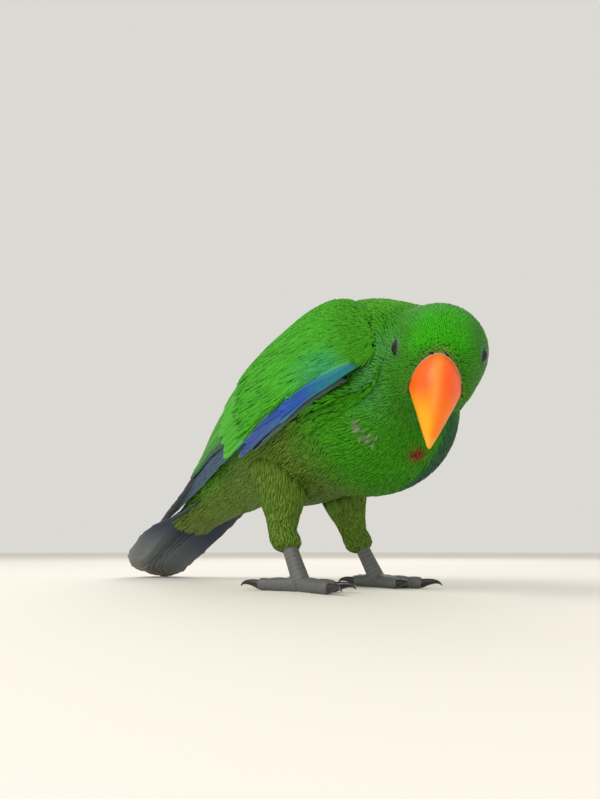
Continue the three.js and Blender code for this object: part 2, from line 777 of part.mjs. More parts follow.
// A claw rises a little from its toe and bends down to the ground.
function claw(side, toe) {
  const rings = [];
  const steps = 5;
  const facets = 6;
  const bend = 1.35;
  const rise = 1.6;
  const fall = 2.3;
  const forward = toePoint(side, toe, 1, 0).sub(toePoint(side, toe, 0, 0));
  const across = vector(-forward.y, forward.x, 0);
  const centre = (t) => toePoint(
    side,
    toe,
    toe[1] + GAP + CLAW_LENGTH * Math.sin(t * bend) / Math.sin(bend),
    TOE_RADIUS - TOE_SINK + rise * Math.sin(t * 2.2) - fall * t * t,
  );
  for (let i = 0; i < steps; i += 1) {
    const t = i / steps;
    const radius = lerp(CLAW_RADIUS, 0.5, t);
    const tangent = centre(t + 0.05).sub(centre(t));
    const lean = i === 0 ? 0 : Math.atan2(tangent.z, Math.hypot(tangent.x, tangent.y));
    const ring = [];
    for (let j = 0; j < facets; j += 1) {
      const angle = (2 * Math.PI * j) / facets;
      ring.push(centre(t)
        .addScaledVector(across, radius * 0.8 * Math.cos(angle))
        .addScaledVector(forward, -radius * Math.sin(angle) * Math.sin(lean))
        .add(vector(0, 0, radius * Math.sin(angle) * Math.cos(lean))));
    }
    rings.push(ring);
  }
  return toSolid(closedLoft(rings, centre(0), centre(1)));
}

// The scene graph

const LOOKS = {
  green: new THREE.MeshStandardMaterial({ color: 0x2f9420, roughness: 0.7 }),
  wing: new THREE.MeshStandardMaterial({ color: 0x3aa62c, roughness: 0.65 }),
  tail: new THREE.MeshStandardMaterial({ color: 0x20303a, roughness: 0.6 }),
  upperBill: new THREE.MeshStandardMaterial({ color: 0xf07a1e, roughness: 0.35 }),
  lowerBill: new THREE.MeshStandardMaterial({ color: 0x1c1a1a, roughness: 0.45 }),
  eye: new THREE.MeshStandardMaterial({ color: 0x14100c, roughness: 0.1 }),
  leg: new THREE.MeshStandardMaterial({ color: 0x5c5f60, roughness: 0.8 }),
  claw: new THREE.MeshStandardMaterial({ color: 0x1e1c1b, roughness: 0.4 }),
};

const bird = new THREE.Group();

function place(name, solid, look) {
  const mesh = new THREE.Mesh(toGeometry(solid), look);
  mesh.name = name;
  bird.add(mesh);
}

place('torso', torso(), LOOKS.green);
place('neck', neck(), LOOKS.green);
place('head', headNode(), LOOKS.green);
place('bill_upper', upperBill(), LOOKS.upperBill);
place('bill_lower', lowerBill(), LOOKS.lowerBill);
place('tail', tailNode(), LOOKS.tail);
[['left', 1], ['right', -1]].forEach(([name, side]) => {
  place(`eye_${name}`, ball(eyeCentre(side), EYE_DIAMETER / 2, EYE_FACETS), LOOKS.eye);
  place(`wing_${name}`, wing(side), LOOKS.wing);
  place(`thigh_${name}`, thigh(side), LOOKS.green);
  place(`foot_${name}`, foot(side), LOOKS.leg);
  TOES.forEach((toe, i) => place(`claw_${name}_${i + 1}`, claw(side, toe), LOOKS.claw));
});

const box = new THREE.Box3().setFromObject(bird);
bird.position.set(-(box.min.x + box.max.x) / 2, -(box.min.y + box.max.y) / 2, 0);

export default bird;
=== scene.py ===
# A male eclectus parrot at life size: its plumage, bill, eyes and feet round the solids of the frame.
# Lengths are millimetres in the bird's own axes until a mesh is made, when they become metres.
# The bird's axes start at the tip of its tail, with +X forward, +Y to its left and +Z up.
import math

import bpy
import numpy as np
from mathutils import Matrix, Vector
from mathutils.kdtree import KDTree


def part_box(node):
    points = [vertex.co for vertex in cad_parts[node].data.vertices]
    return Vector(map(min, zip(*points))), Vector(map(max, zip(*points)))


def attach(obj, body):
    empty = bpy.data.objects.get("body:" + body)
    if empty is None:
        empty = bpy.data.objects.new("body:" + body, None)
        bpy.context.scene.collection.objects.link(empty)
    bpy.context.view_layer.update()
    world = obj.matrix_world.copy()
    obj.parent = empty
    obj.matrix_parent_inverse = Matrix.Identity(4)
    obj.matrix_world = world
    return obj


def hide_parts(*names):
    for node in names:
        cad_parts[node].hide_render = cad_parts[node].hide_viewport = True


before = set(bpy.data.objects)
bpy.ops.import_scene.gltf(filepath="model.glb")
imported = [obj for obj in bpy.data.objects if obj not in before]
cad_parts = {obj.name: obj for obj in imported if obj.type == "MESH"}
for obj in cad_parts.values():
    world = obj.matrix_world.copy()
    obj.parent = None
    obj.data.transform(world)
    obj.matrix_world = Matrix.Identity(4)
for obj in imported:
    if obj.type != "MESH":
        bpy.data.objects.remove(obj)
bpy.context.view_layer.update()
DRAWS = np.random.default_rng(7)
SIDES = ((1, "left"), (-1, "right"))

# Driving sizes, as in the solids, but for the eyes' radius, which is 5 there
TAIL_TIP_HEIGHT = 16
BODY_PITCH = 18.2
WRIST_FROM_TAIL_TIP = 282
HEAD_FROM_WRISTS = (27.5, -22.5, -4.5)
HEAD_TURN = (-56, -26, -10)  # yaw, pitch and roll
EYE_CENTRE = (7, 15, 4)  # forward, to the side and up from the middle of the head
EYE_TURN = 0.25  # forward, as a share of sideways
EYE_RADIUS = 4.6
TAIL_JOIN = 118
TAIL_WIDTH = 47
ANKLE = (198, 27, 29)
HIP = (196, 21, -16)
FOOT = (214, 28)
GAP = 0.3  # between neighbouring pieces


# Frames: an origin and its forward, left and up directions

def pack(*parts):
    """Arrays side by side along a new last axis."""
    return np.stack(np.broadcast_arrays(*parts), -1)


class Axes:
    def __init__(self, origin, yaw, pitch, roll):
        yaw, pitch, roll = np.radians((yaw, pitch, roll))
        forward = np.array([
            math.cos(pitch) * math.cos(yaw),
            math.cos(pitch) * math.sin(yaw),
            math.sin(pitch),
        ])
        level = np.array([-math.sin(yaw), math.cos(yaw), 0.0])
        above = np.cross(forward, level)
        left = level * math.cos(roll) + above * math.sin(roll)
        up = above * math.cos(roll) - level * math.sin(roll)
        self.origin = np.array(origin, float)
        self.rows = np.stack([forward, left, up])

    def at(self, forward, left, up):
        return self.origin + pack(forward, left, up) @ self.rows

    def into(self, points):
        return (points - self.origin) @ self.rows.T


BODY = Axes((0, 0, TAIL_TIP_HEIGHT), 0, BODY_PITCH, 0)
HEAD = Axes(BODY.at(WRIST_FROM_TAIL_TIP, 0, 0) + HEAD_FROM_WRISTS, *HEAD_TURN)


def middle_of(node):
    low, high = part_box(node)
    return np.array((low + high) / 2) * 1000


# The frame is moved from the bird's axes so that its box stands over the origin.
EYES_IN_FRAME = (middle_of("eye_left") + middle_of("eye_right")) / 2
SHIFT = EYES_IN_FRAME - HEAD.at(EYE_CENTRE[0], 0, EYE_CENTRE[2])
SHIFT[2] = 0


def unit(vectors):
    return vectors / np.maximum(np.linalg.norm(vectors, axis=-1, keepdims=True), 1e-9)


def smooth(value, low, high):
    t = np.clip((value - low) / (high - low), 0, 1)
    return t * t * (3 - 2 * t)


def mix(a, b, share):
    return a + (b - a) * share


def bell(value, middle, width):
    return np.exp(-(((value - middle) / width) ** 2))


def lengths_along(path):
    return np.concatenate([[0], np.cumsum(np.linalg.norm(np.diff(path, axis=0), axis=1))])


def rounded(t, start, span, least=0):
    """1 up to a start, then falling as a quarter of a circle does."""
    return np.sqrt(np.clip(1 - np.clip((t - start) / span, 0, None) ** 2, least, 1))


def ring_angles(count):
    return np.linspace(0, 2 * math.pi, count, endpoint=False)


def cells(rows, columns):
    """The row and the column of each cell of a grid."""
    return np.meshgrid(np.arange(rows), np.arange(columns), indexing="ij")


def profile(rows, position):
    """A smooth curve through rows of (position, value, value...), read at positions."""
    table = np.array(rows, float)
    stops, values = table[:, 0], table[:, 1:]
    position = np.asarray(position, float)
    i = np.clip(np.searchsorted(stops, position) - 1, 0, len(stops) - 2)
    span = (stops[i + 1] - stops[i])[..., None]
    t = np.clip((position - stops[i])[..., None] / span, 0, 1)
    before = np.maximum(np.arange(len(stops)) - 1, 0)
    after = np.minimum(np.arange(len(stops)) + 1, len(stops) - 1)
    slopes = (values[after] - values[before]) / (stops[after] - stops[before])[:, None]
    return (
        values[i] * (2 * t**3 - 3 * t**2 + 1)
        + slopes[i] * span * (t**3 - 2 * t**2 + t)
        + values[i + 1] * (3 * t**2 - 2 * t**3)
        + slopes[i + 1] * span * (t**3 - t**2)
    )


def curves(rows, position):
    """The same curve as one array for each value."""
    return np.moveaxis(profile(rows, position), -1, 0)


def curve(rows, position):
    return curves(rows, position)[0]


def tree_of(points):
    tree = KDTree(len(points))
    for k, point in enumerate(points):
        tree.insert(point, k)
    tree.balance()
    return tree


# Distance fields of the body with its coat, negative inside

def ellipsoid(axes, centre, radii):
    middle = axes.at(*centre)
    radii = np.array(radii, float)

    def field(p):
        local = (p - middle) @ axes.rows.T
        k0 = np.linalg.norm(local / radii, axis=-1)
        k1 = np.linalg.norm(local / radii**2, axis=-1)
        return k0 * (k0 - 1) / np.maximum(k1, 1e-9)

    return field


def tapered_capsule(a, b, radius_a, radius_b):
    along = b - a

    def field(p):
        t = np.clip((p - a) @ along / (along @ along), 0, 1)
        return np.linalg.norm(p - a - t[..., None] * along, axis=-1) - mix(radius_a, radius_b, t)

    return field


def smooth_union(fields, blend):
    def field(p):
        nearest = fields[0](p)
        for part in fields[1:]:
            value = part(p)
            h = np.maximum(blend - np.abs(nearest - value), 0) / blend
            nearest = np.minimum(nearest, value) - h * h * blend / 4
        return nearest

    return field


TRUNK = smooth_union([
    ellipsoid(BODY, (216, 0, 6), (74, 44, 41)),
    ellipsoid(BODY, (248, 0, -5), (44, 42.5, 35)),
    ellipsoid(BODY, (250, 0, -16), (36, 34.5, 31)),
    ellipsoid(BODY, (150, 0, 5), (60, 27, 20)),
    ellipsoid(BODY, (254, 0, 17.5), (42, 42, 35)),
    tapered_capsule(BODY.at(262, 0, 14), HEAD.at(-12, 0, 1), 27, 21),
    ellipsoid(BODY, (285, -18, -1), (19, 18, 27)),
], 14)
SKULL = smooth_union([
    ellipsoid(HEAD, (-1, 0, 2), (25, 19, 20)),
    ellipsoid(HEAD, (4, 5.2, -9), (14, 10.8, 13)),
    ellipsoid(HEAD, (4, -5.2, -9), (14, 10.8, 13)),
    ellipsoid(HEAD, (8, 0, 3), (12, 13, 12)),
], 6)
FLESH = smooth_union([TRUNK, SKULL], 8)
RAY_STEP = 2.0
RAY_LENGTH = 110
RAY_HALVINGS = 12


def reach(field, origins, directions, margin):
    """Distance along each ray at which a field, moved out by a margin, turns positive."""
    shape = origins.shape[:-1]
    directions = np.broadcast_to(directions, origins.shape).reshape(-1, 3)
    origins = origins.reshape(-1, 3)
    margin = np.broadcast_to(margin, shape).reshape(-1)
    high = np.full(len(origins), RAY_STEP)
    todo = np.arange(len(origins))
    while len(todo):
        value = field(origins[todo] + directions[todo] * high[todo, None]) - margin[todo]
        todo = todo[(value < 0) & (high[todo] < RAY_LENGTH)]
        high[todo] += RAY_STEP
    low = high - RAY_STEP
    for _ in range(RAY_HALVINGS):
        middle = (low + high) / 2
        inside = field(origins + directions * middle[:, None]) - margin < 0
        low = np.where(inside, middle, low)
        high = np.where(inside, high, middle)
    return ((low + high) / 2).reshape(shape)


# Surfaces that feathers lie on

MARCH_STEPS = 5
LEAST_ROW = 0.12  # millimetres, taken where rows or columns crowd together
LEAST_COLUMN = 0.05


class Grid:
    """Points in rows and columns, read at any place between them. Columns may close into a ring."""

    def __init__(self, points, ring):
        self.ring = ring
        self.rows, self.columns = points.shape[:2]
        wide = np.concatenate([points[:, -1:], points, points[:, :1]], 1) if ring else points
        across = np.gradient(wide, axis=1)
        self.points = points
        self.across = across[:, 1:-1] if ring else across
        self.along = np.gradient(points, axis=0)
        self.normals = unit(np.cross(self.along, self.across))

    def read(self, values, row, column):
        row = np.clip(row, 0, self.rows - 1.001)
        column = column % self.columns if self.ring else np.clip(column, 0, self.columns - 1.001)
        i, j = row.astype(int), column.astype(int)
        j = np.minimum(j, self.columns - 1)
        k = (j + 1) % self.columns
        a, b = (row - i)[..., None], (column - j)[..., None]
        return (
            values[i, j] * (1 - a) * (1 - b) + values[i + 1, j] * a * (1 - b)
            + values[i, k] * (1 - a) * b + values[i + 1, k] * a * b
        )

    def place(self, row, column, height=0.0):
        normals = self.read(self.normals, row, column)
        return self.read(self.points, row, column) + normals * np.expand_dims(height, -1)

    def pitch(self, steps, row, column):
        """Millimetres from one row to the next, or one column, by the steps given."""
        return np.linalg.norm(self.read(steps, row, column), axis=-1)

    def march(self, row, column, distance):
        """The row reached by going a distance towards higher rows."""
        for _ in range(MARCH_STEPS):
            pitch = np.maximum(self.pitch(self.along, row, column), LEAST_ROW)
            row = row + distance / MARCH_STEPS / pitch
        return row

    def aside(self, row, column, distance):
        """The column reached by going a distance along a row."""
        return column + distance / np.maximum(self.pitch(self.across, row, column), LEAST_COLUMN)


FACE_ROWS = 44
BODY_ROWS = 170
RUMP_ROWS = 24
LAST_ROW = FACE_ROWS + BODY_ROWS + RUMP_ROWS
SKIN_COLUMNS = 176
POLE_TILT = 88  # degrees, of the first and the last ring
COAT_DEPTH = [  # by row, from the bill back
    (0, 0.7),
    (FACE_ROWS, 1.3),
    (FACE_ROWS + 45, 2.0),
    (FACE_ROWS + 90, 2.6),
    (LAST_ROW, 2.4),
]
BODY_LINE = [  # centre, yaw, pitch, roll
    (HEAD.at(3, 0, 0), *HEAD_TURN),
    (HEAD.at(-12, 0, 1), -43, -16, -8),
    (BODY.at(272, -8, 6), -28, -2, -4),
    (BODY.at(248, -5, 6), -15, BODY_PITCH - 7, -1),
    (BODY.at(220, -2, 3), -5, BODY_PITCH - 2, 0),
    (BODY.at(175, 0, 0), 0, BODY_PITCH, 0),
    (BODY.at(132, 0, -2), 0, BODY_PITCH, 0),
]


def body_line(count):
    """Axes at even steps along the middle of the body, from the head back."""
    lengths = lengths_along([stop[0] for stop in BODY_LINE])
    rows = [(length, *stop[0], *stop[1:]) for length, stop in zip(lengths, BODY_LINE)]
    found = profile(rows, np.linspace(0, lengths[-1], count))
    return [Axes(values[:3], *values[3:]) for values in found]


def skin_grid():
    line = body_line(BODY_ROWS)
    face = np.linspace(POLE_TILT, 0, FACE_ROWS, endpoint=False)
    rump = -np.linspace(0, POLE_TILT, RUMP_ROWS + 1)[1:]
    tilt = np.radians(np.concatenate([face, np.zeros(BODY_ROWS), rump]))[:, None]
    line = [line[0]] * FACE_ROWS + line + [line[-1]] * RUMP_ROWS
    angle = ring_angles(SKIN_COLUMNS)
    parts = pack(np.sin(tilt), np.cos(angle) * np.cos(tilt), np.sin(angle) * np.cos(tilt))
    directions = parts @ np.array([axes.rows for axes in line])
    origins = np.broadcast_to(np.array([[axes.origin] for axes in line]), directions.shape)
    distance = reach(FLESH, origins, directions, -profile(COAT_DEPTH, np.arange(LAST_ROW)))
    return Grid(origins + directions * distance[..., None], ring=True)


SKIN = skin_grid()


# Meshes

def add_object(name, data):
    piece = bpy.data.objects.new(name, data)
    bpy.context.scene.collection.objects.link(piece)
    return piece


class Gathered:
    """Points, faces and values at points, gathered for one piece."""

    def __init__(self):
        self.points, self.tints, self.vanes, self.bakes = [], [], [], []
        self.faces = []
        self.count = 0

    def add(self, points, faces, tints, vanes=0, bakes=0):
        shape = points.shape[:-1]
        for kept, values, size in (
            (self.points, points, 3),
            (self.tints, np.clip(tints, 0, 1), 3),
            (self.vanes, vanes, 2),
            (self.bakes, bakes, 2),
        ):
            kept.append(np.broadcast_to(values, (*shape, size)).reshape(-1, size))
        self.faces += [f + self.count for f in faces]
        self.count += math.prod(shape)
        return self

    def make(self, name, material, slot, replaced=()):
        mesh = bpy.data.meshes.new(name)
        sizes = np.concatenate([np.full(len(f), f.shape[1]) for f in self.faces])
        corners = np.concatenate([f.ravel() for f in self.faces]).astype(np.int32)
        points = (np.concatenate(self.points) + SHIFT) / 1000
        mesh.vertices.add(self.count)
        mesh.vertices.foreach_set("co", points.astype(np.float32).ravel())
        mesh.loops.add(len(corners))
        mesh.loops.foreach_set("vertex_index", corners)
        mesh.polygons.add(len(sizes))
        mesh.polygons.foreach_set("loop_start", (np.cumsum(sizes) - sizes).astype(np.int32))
        mesh.polygons.foreach_set("use_smooth", np.ones(len(sizes), bool))
        mesh.update(calc_edges=True)
        rgba = np.ones((self.count, 4), np.float32)
        rgba[:, :3] = np.concatenate(self.tints)
        mesh.color_attributes.new("tint", "FLOAT_COLOR", "POINT").data.foreach_set("color", rgba.ravel())
        for layer, values in (("OFBake", self.bakes), ("vane", self.vanes)):
            spread = np.concatenate(values).astype(np.float32)[corners]
            mesh.uv_layers.new(name=layer, do_init=False).data.foreach_set("uv", spread.ravel())
        mesh.materials.append(material)
        piece = add_object(name, mesh)
        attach(piece, "root")
        if replaced:
            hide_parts(*replaced)


def linear(*colour):
    """Linear light from a colour given in steps of 255."""
    c = np.array(colour) / 255
    return np.where(c <= 0.04045, c / 12.92, ((c + 0.055) / 1.055) ** 2.4)


def grid_faces(rows, columns, ring=False, torus=False):
    """Quads between points in rows and columns. A torus closes both ways."""
    i, j = cells(rows if torus else rows - 1, columns if ring or torus else columns - 1)
    above, below, beside = i * columns, (i + 1) % rows * columns, (j + 1) % columns
    return pack(above + j, below + j, below + beside, above + beside).reshape(-1, 4)


def sheet_faces(rows, columns):
    """A closed sheet: the faces of two grids, the lower one turned over, and of the rim between."""
    top = grid_faces(rows, columns)
    under = rows * columns
    rim = np.concatenate([
        np.arange(columns),
        np.arange(1, rows) * columns + columns - 1,
        (rows - 1) * columns + np.arange(columns - 2, -1, -1),
        np.arange(rows - 2, 0, -1) * columns,
    ])
    after = np.roll(rim, -1)
    return np.concatenate([top, top[:, ::-1] + under, pack(rim, after, after + under, rim + under)])


def repeated(faces, size, count):
    """The faces of one small mesh, for a number of them one after the other."""
    return (faces[None] + np.arange(count)[:, None, None] * size).reshape(-1, faces.shape[1])


def listed(values, last=0):
    """Values of a tube as one list, then the first and one of the last row for the two ends."""
    return np.concatenate([values.reshape(-1, values.shape[-1]), values[[0, -1], [0, last]]])


def closed_tube(points):
    """Points and faces of a tube with a point closing each end."""
    rows, columns = points.shape[:2]
    count = rows * columns
    ring = np.arange(columns)
    after, last = np.roll(ring, -1), count - columns
    first_cap, last_cap = pack(count, ring, after), pack(count + 1, last + after, last + ring)
    found = np.concatenate([points.reshape(-1, 3), points[[0, -1]].mean(1)])
    return found, [grid_faces(rows, columns, ring=True), first_cap, last_cap]


def add_tube(gathered, points, tints, floor=-math.inf):
    rows, columns = points.shape[:2]
    i, j = cells(rows, columns)
    bakes = pack(0.05 + 0.9 * j / columns, 0.05 + 0.9 * i / rows)
    found, faces = closed_tube(points)
    found[:, 2] = np.maximum(found[:, 2], floor)
    return gathered.add(found, faces, listed(np.broadcast_to(tints, points.shape)), bakes=listed(bakes, -1))


# Scattering and laying feathers

BLADE_STATIONS = np.array([0, 0.4, 0.75, 1.0])
BLADE_OUTLINE = np.array([0.55, 1.0, 0.72, 0.1])
BLADE_EDGES = np.array([-1, 0, 1])  # left edge, ridge and right edge
BLADE_OVERLAP = 1.9
BLADE_START = 0.16  # of a feather's width, from its root to those of its outer blades
BLADE_SPLAY = 0.36  # of a feather's width, by which its outer blades move aside
BLADE_DOME = 0.06  # of a feather's width, by which its outer blades lie lower
BLADE_RIDGE = 0.16  # of a blade's width
RISE_CURVE = 0.45  # exponent by which a blade rises along its length
CROWD = 4  # draws for each feather that a surface has room for
BAKE_PATCH = 0.003  # side of a blade's part of the unwrap


def blade_faces():
    """A small closed blade, flat below."""
    faces = []
    for i in range(len(BLADE_STATIONS) - 1):
        a, b = i * 3, i * 3 + 3
        faces += [(a, b, b + 1, a + 1), (a + 1, b + 1, b + 2, a + 2), (a + 2, b + 2, b, a)]
    last = (len(BLADE_STATIONS) - 1) * 3
    return np.array(faces), np.array([(0, 1, 2), (last + 2, last + 1, last)])


def scatter(surface, gap, allowed=None):
    """Places on a surface no nearer to each other than gap(row), where allowed(points) holds."""
    i, j = cells(surface.rows - 1, surface.columns - (0 if surface.ring else 1))
    i, j = i.ravel() + 0.5, j.ravel() + 0.5
    weight = surface.pitch(surface.along, i, j) * surface.pitch(surface.across, i, j) / gap(i) ** 2
    count = int(weight.sum() * CROWD)
    pick = DRAWS.choice(len(i), count, p=weight / weight.sum())
    row = i[pick] + DRAWS.uniform(-0.5, 0.5, count)
    column = j[pick] + DRAWS.uniform(-0.5, 0.5, count)
    points = surface.place(row, column)
    if allowed:
        keep = allowed(points)
        row, column, points = row[keep], column[keep], points[keep]
    gaps = gap(row)
    tree = tree_of(points)
    free = np.ones(len(points), bool)
    kept = []
    for k, point in enumerate(points):
        if free[k]:
            kept.append(k)
            for _, other, _ in tree.find_range(point, gaps[k]):
                free[other] = False
    return row[kept], column[kept]


def lay_tufts(gathered, surface, row, column, length, width, base, lift, paint,
              blades=5, turn=0.08, spread=1.0, bake_rows=None):
    """Small feathers from roots on a surface, each a fan of blades lying towards higher rows.

    A feather's underside starts at base above the surface and rises by lift.
    """
    count, total = len(row), len(row) * blades

    def fan(values):
        return np.repeat(np.broadcast_to(values, count), blades)[:, None, None]

    def vary(middle, sigma):
        return DRAWS.normal(middle, sigma, total)[:, None, None]

    t, edge, width = BLADE_STATIONS[:, None], BLADE_EDGES, fan(width)
    part = np.tile(np.linspace(-1, 1, blades), count)[:, None, None] + vary(0, 0.12)
    own_length = fan(length) * (1 - 0.2 * part**2) * vary(1, 0.06)
    own_width = width / blades * BLADE_OVERLAP
    aim = fan(DRAWS.normal(0, turn, count))
    bend = fan(DRAWS.normal(0, turn, count)) + vary(0, 0.06)
    tilt = fan(DRAWS.normal(0, 0.04, count)) * part
    r = fan(row)
    c = surface.aside(r, fan(column), part * width * BLADE_START)
    rows, columns = [], []
    for share, advance in zip(BLADE_STATIONS, np.diff(BLADE_STATIONS, prepend=0)):
        step = own_length * advance
        slant = aim + bend * share
        r = surface.march(r, c, step * np.cos(slant))
        c = surface.aside(r, c, step * (np.sin(slant) + part * spread * width * BLADE_SPLAY / own_length))
        rows.append(r)
        columns.append(c)
    r, c = np.concatenate(rows, 1), np.concatenate(columns, 1)
    half = own_width / 2 * BLADE_OUTLINE[:, None] * edge
    rise = t**RISE_CURVE
    height = fan(base) + fan(lift) * rise + tilt * rise - BLADE_DOME * width * part**2
    ridge = BLADE_RIDGE * own_width * (edge == 0) * (1 - 0.7 * t)
    points = surface.place(r, surface.aside(r, c, half), height + ridge + vary(0, 0.05) * rise)
    colour = paint(surface.place(row, column))
    shade = DRAWS.normal(1, 0.05, (count, 1)) * (1 + DRAWS.normal(0, 0.02, (count, 3)))
    own = np.repeat(colour * shade, blades, axis=0) * DRAWS.normal(1, 0.05, (total, 1))
    low, high = bake_rows or (0, surface.rows)
    u = fan(0.02 + 0.95 * (column % surface.columns) / surface.columns)
    u = u + BAKE_PATCH * 0.5 * (part * 0.8 + edge * 0.2 + 1)
    v = fan(0.02 + 0.95 * (row - low) / (high - low)) + BAKE_PATCH * t
    size = len(BLADE_STATIONS) * len(edge)
    gathered.add(
        points,
        [repeated(faces, size, total) for faces in blade_faces()],
        # each blade darker at its root and lighter at its tip: painted shade where the feather before it
        # overlaps its root
        own[:, None, None] * (0.88 + 0.16 * t)[..., None],
        pack(half, own_length * t),
        pack(u, v),
    )


VANE_EDGES = np.array([-1, -0.62, -0.14, 0, 0.14, 0.62, 1])
VANE_DRIFT = 0.72  # millimetres aside at the tip, as one standard deviation
VANE_DOME = 0.036  # fall of an edge, as a share of half the width
SHAFT_RIDGE = 0.22
ROOT_WIDTH = 0.6  # as a share of the width
ROUND_FROM = 0.86  # of the length


def lay_vanes(gathered, surface, roots, tips, width, rise, lean, paint,
              stations=20, thickness=0.28, pointed=0.0):
    """Long closed vanes with a shaft, from roots to tips given as rows and columns of a surface."""
    roots, tips = np.array(roots, float)[:, None, None], np.array(tips, float)[:, None, None]
    count = len(roots)
    edge = VANE_EDGES
    width = np.broadcast_to(width, count)[:, None, None]
    first, last = np.moveaxis(np.array(rise), 1, 0)[..., None, None]
    t = (1 - (1 - np.linspace(0, 1, stations)) ** 1.5)[:, None]
    row, column = np.moveaxis(mix(roots, tips, t[..., None]), -1, 0)
    start = ROOT_WIDTH + (1 - ROOT_WIDTH) * smooth(t, 0, 0.3)
    taper = 1 - pointed * smooth(t, 0.35, 1)
    half = width / 2 * start * taper * np.maximum(rounded(t, ROUND_FROM, 1 - ROUND_FROM), 0.05)
    ragged = 1 + DRAWS.normal(0, 0.035, (count, stations, len(edge))) * (np.abs(edge) > 0.9)
    side = half * edge * ragged
    drift = DRAWS.normal(0, VANE_DRIFT, count)[:, None, None] * t**2
    column = surface.aside(row, column, side + drift)
    tilt = DRAWS.normal(0, 0.05, count)[:, None, None]
    height = mix(first, last, t) - (lean + tilt) * edge - VANE_DOME * edge**2 * half
    height = height + SHAFT_RIDGE * (edge == 0) * (1 - 0.7 * t)
    top = surface.place(row, column, height)
    under = surface.place(row, column, height - thickness * (1 - 0.45 * t))
    length = np.linalg.norm(np.diff(top[:, :, 3], axis=1), axis=-1).sum(1)[:, None, None]
    index = np.arange(count)[:, None, None]
    tints = [paint(row, column, edge[:, None], t[..., None], index[..., None], low) for low in (False, True)]
    shade = DRAWS.normal(1, 0.05, (count, 1, 1, 1))
    across = math.ceil(math.sqrt(count))
    u = (index % across + 0.04 + 0.42 * (edge + 1) / 2) / across
    v = (index // across + 0.04 + 0.9 * t) / across
    bakes = pack(u, v)
    faces = sheet_faces(stations, len(edge))
    gathered.add(
        np.stack([top, under], 1),
        [repeated(faces, 2 * stations * len(edge), count)],
        np.stack(np.broadcast_arrays(*[tint * shade for tint in tints]), 1),
        pack(side, length * t)[:, None],
        np.stack([bakes, bakes + (0.5 / across, 0)], 1),
    )


# Markings, and a patch of painted shade

FOREHEAD = linear(50, 162, 0)
CROWN = linear(52, 136, 12)
CHEEK = linear(56, 132, 18)
SHEEN = linear(84, 160, 100)
MANTLE = linear(66, 150, 14)
BREAST = linear(54, 138, 6)
BELLY = linear(94, 126, 40)
RUMP_GREEN = linear(66, 138, 26)
VENT = linear(98, 120, 44)
FLANK_RED = linear(126, 10, 26)
# painted shade: the slate-teal of the lower left breast
BREAST_PAINTED_SHADE = linear(40, 78, 66)
BILL_RIM = linear(120, 124, 72)
EYE_RIM = linear(96, 138, 104)
NECK_GREEN = linear(58, 142, 14)
DOWN_WHITE = linear(176, 186, 160)
WING_GREEN = linear(62, 158, 28)
WING_TEAL = linear(36, 138, 118)
STRIP_TEAL = linear(30, 124, 138)
STRIP_BLUE = linear(32, 78, 160)
STRIP_VIOLET = linear(44, 66, 136)
FLIGHT_DARK = linear(20, 30, 38)
FLIGHT_BLUE = linear(22, 40, 66)
FLIGHT_EDGE = linear(110, 160, 190)
EDGE_GREY = linear(84, 108, 104)
TAIL_SLATE = linear(52, 62, 80)
TAIL_BLUE = linear(28, 50, 84)
TAIL_PALE = linear(122, 128, 130)
TAIL_TIP = linear(134, 120, 98)

# Where one colour gives way to the next, by distance from the tail tip
VENT_TO_BELLY = (96, 150)
RUMP_TO_MANTLE = (110, 180)
BELLY_TO_BREAST = (222, 256)
FLANK_ANGLES = (-12, 22)  # degrees up from level, where the under side gives way to the upper

# Patches: centre and radii, in the axes of the head or, for the red one, of the body
SHEEN_PATCH = ((-1, 24, -11), (5, 9, 13))
EYE_PATCH = ((8, 20, 4), (5, 5, 5))
RED_PATCH = ((275.4, -8.3, -39), (3, 3.8, 3.6))


def near(points, centre, radii):
    """1 at a centre, falling to nothing a little past the radii."""
    return np.exp(-((((points - centre) / radii) ** 2).sum(-1)))[..., None]


def bill_rim(in_head):
    """Rough distance in millimetres from the edge of the bill's base, along the face."""
    forward = in_head[..., 0] - BILL_PIVOT[0]
    up = in_head[..., 2] - BILL_PIVOT[1]
    turn = np.degrees(np.arctan2(-up, forward))
    _, outer, half = curves(UPPER_BILL, turn)
    reach_out = np.hypot(np.hypot(forward, up) / outer, in_head[..., 1] / half)
    return np.where(np.abs(turn) > 95, 50.0, (reach_out - 1) * half)


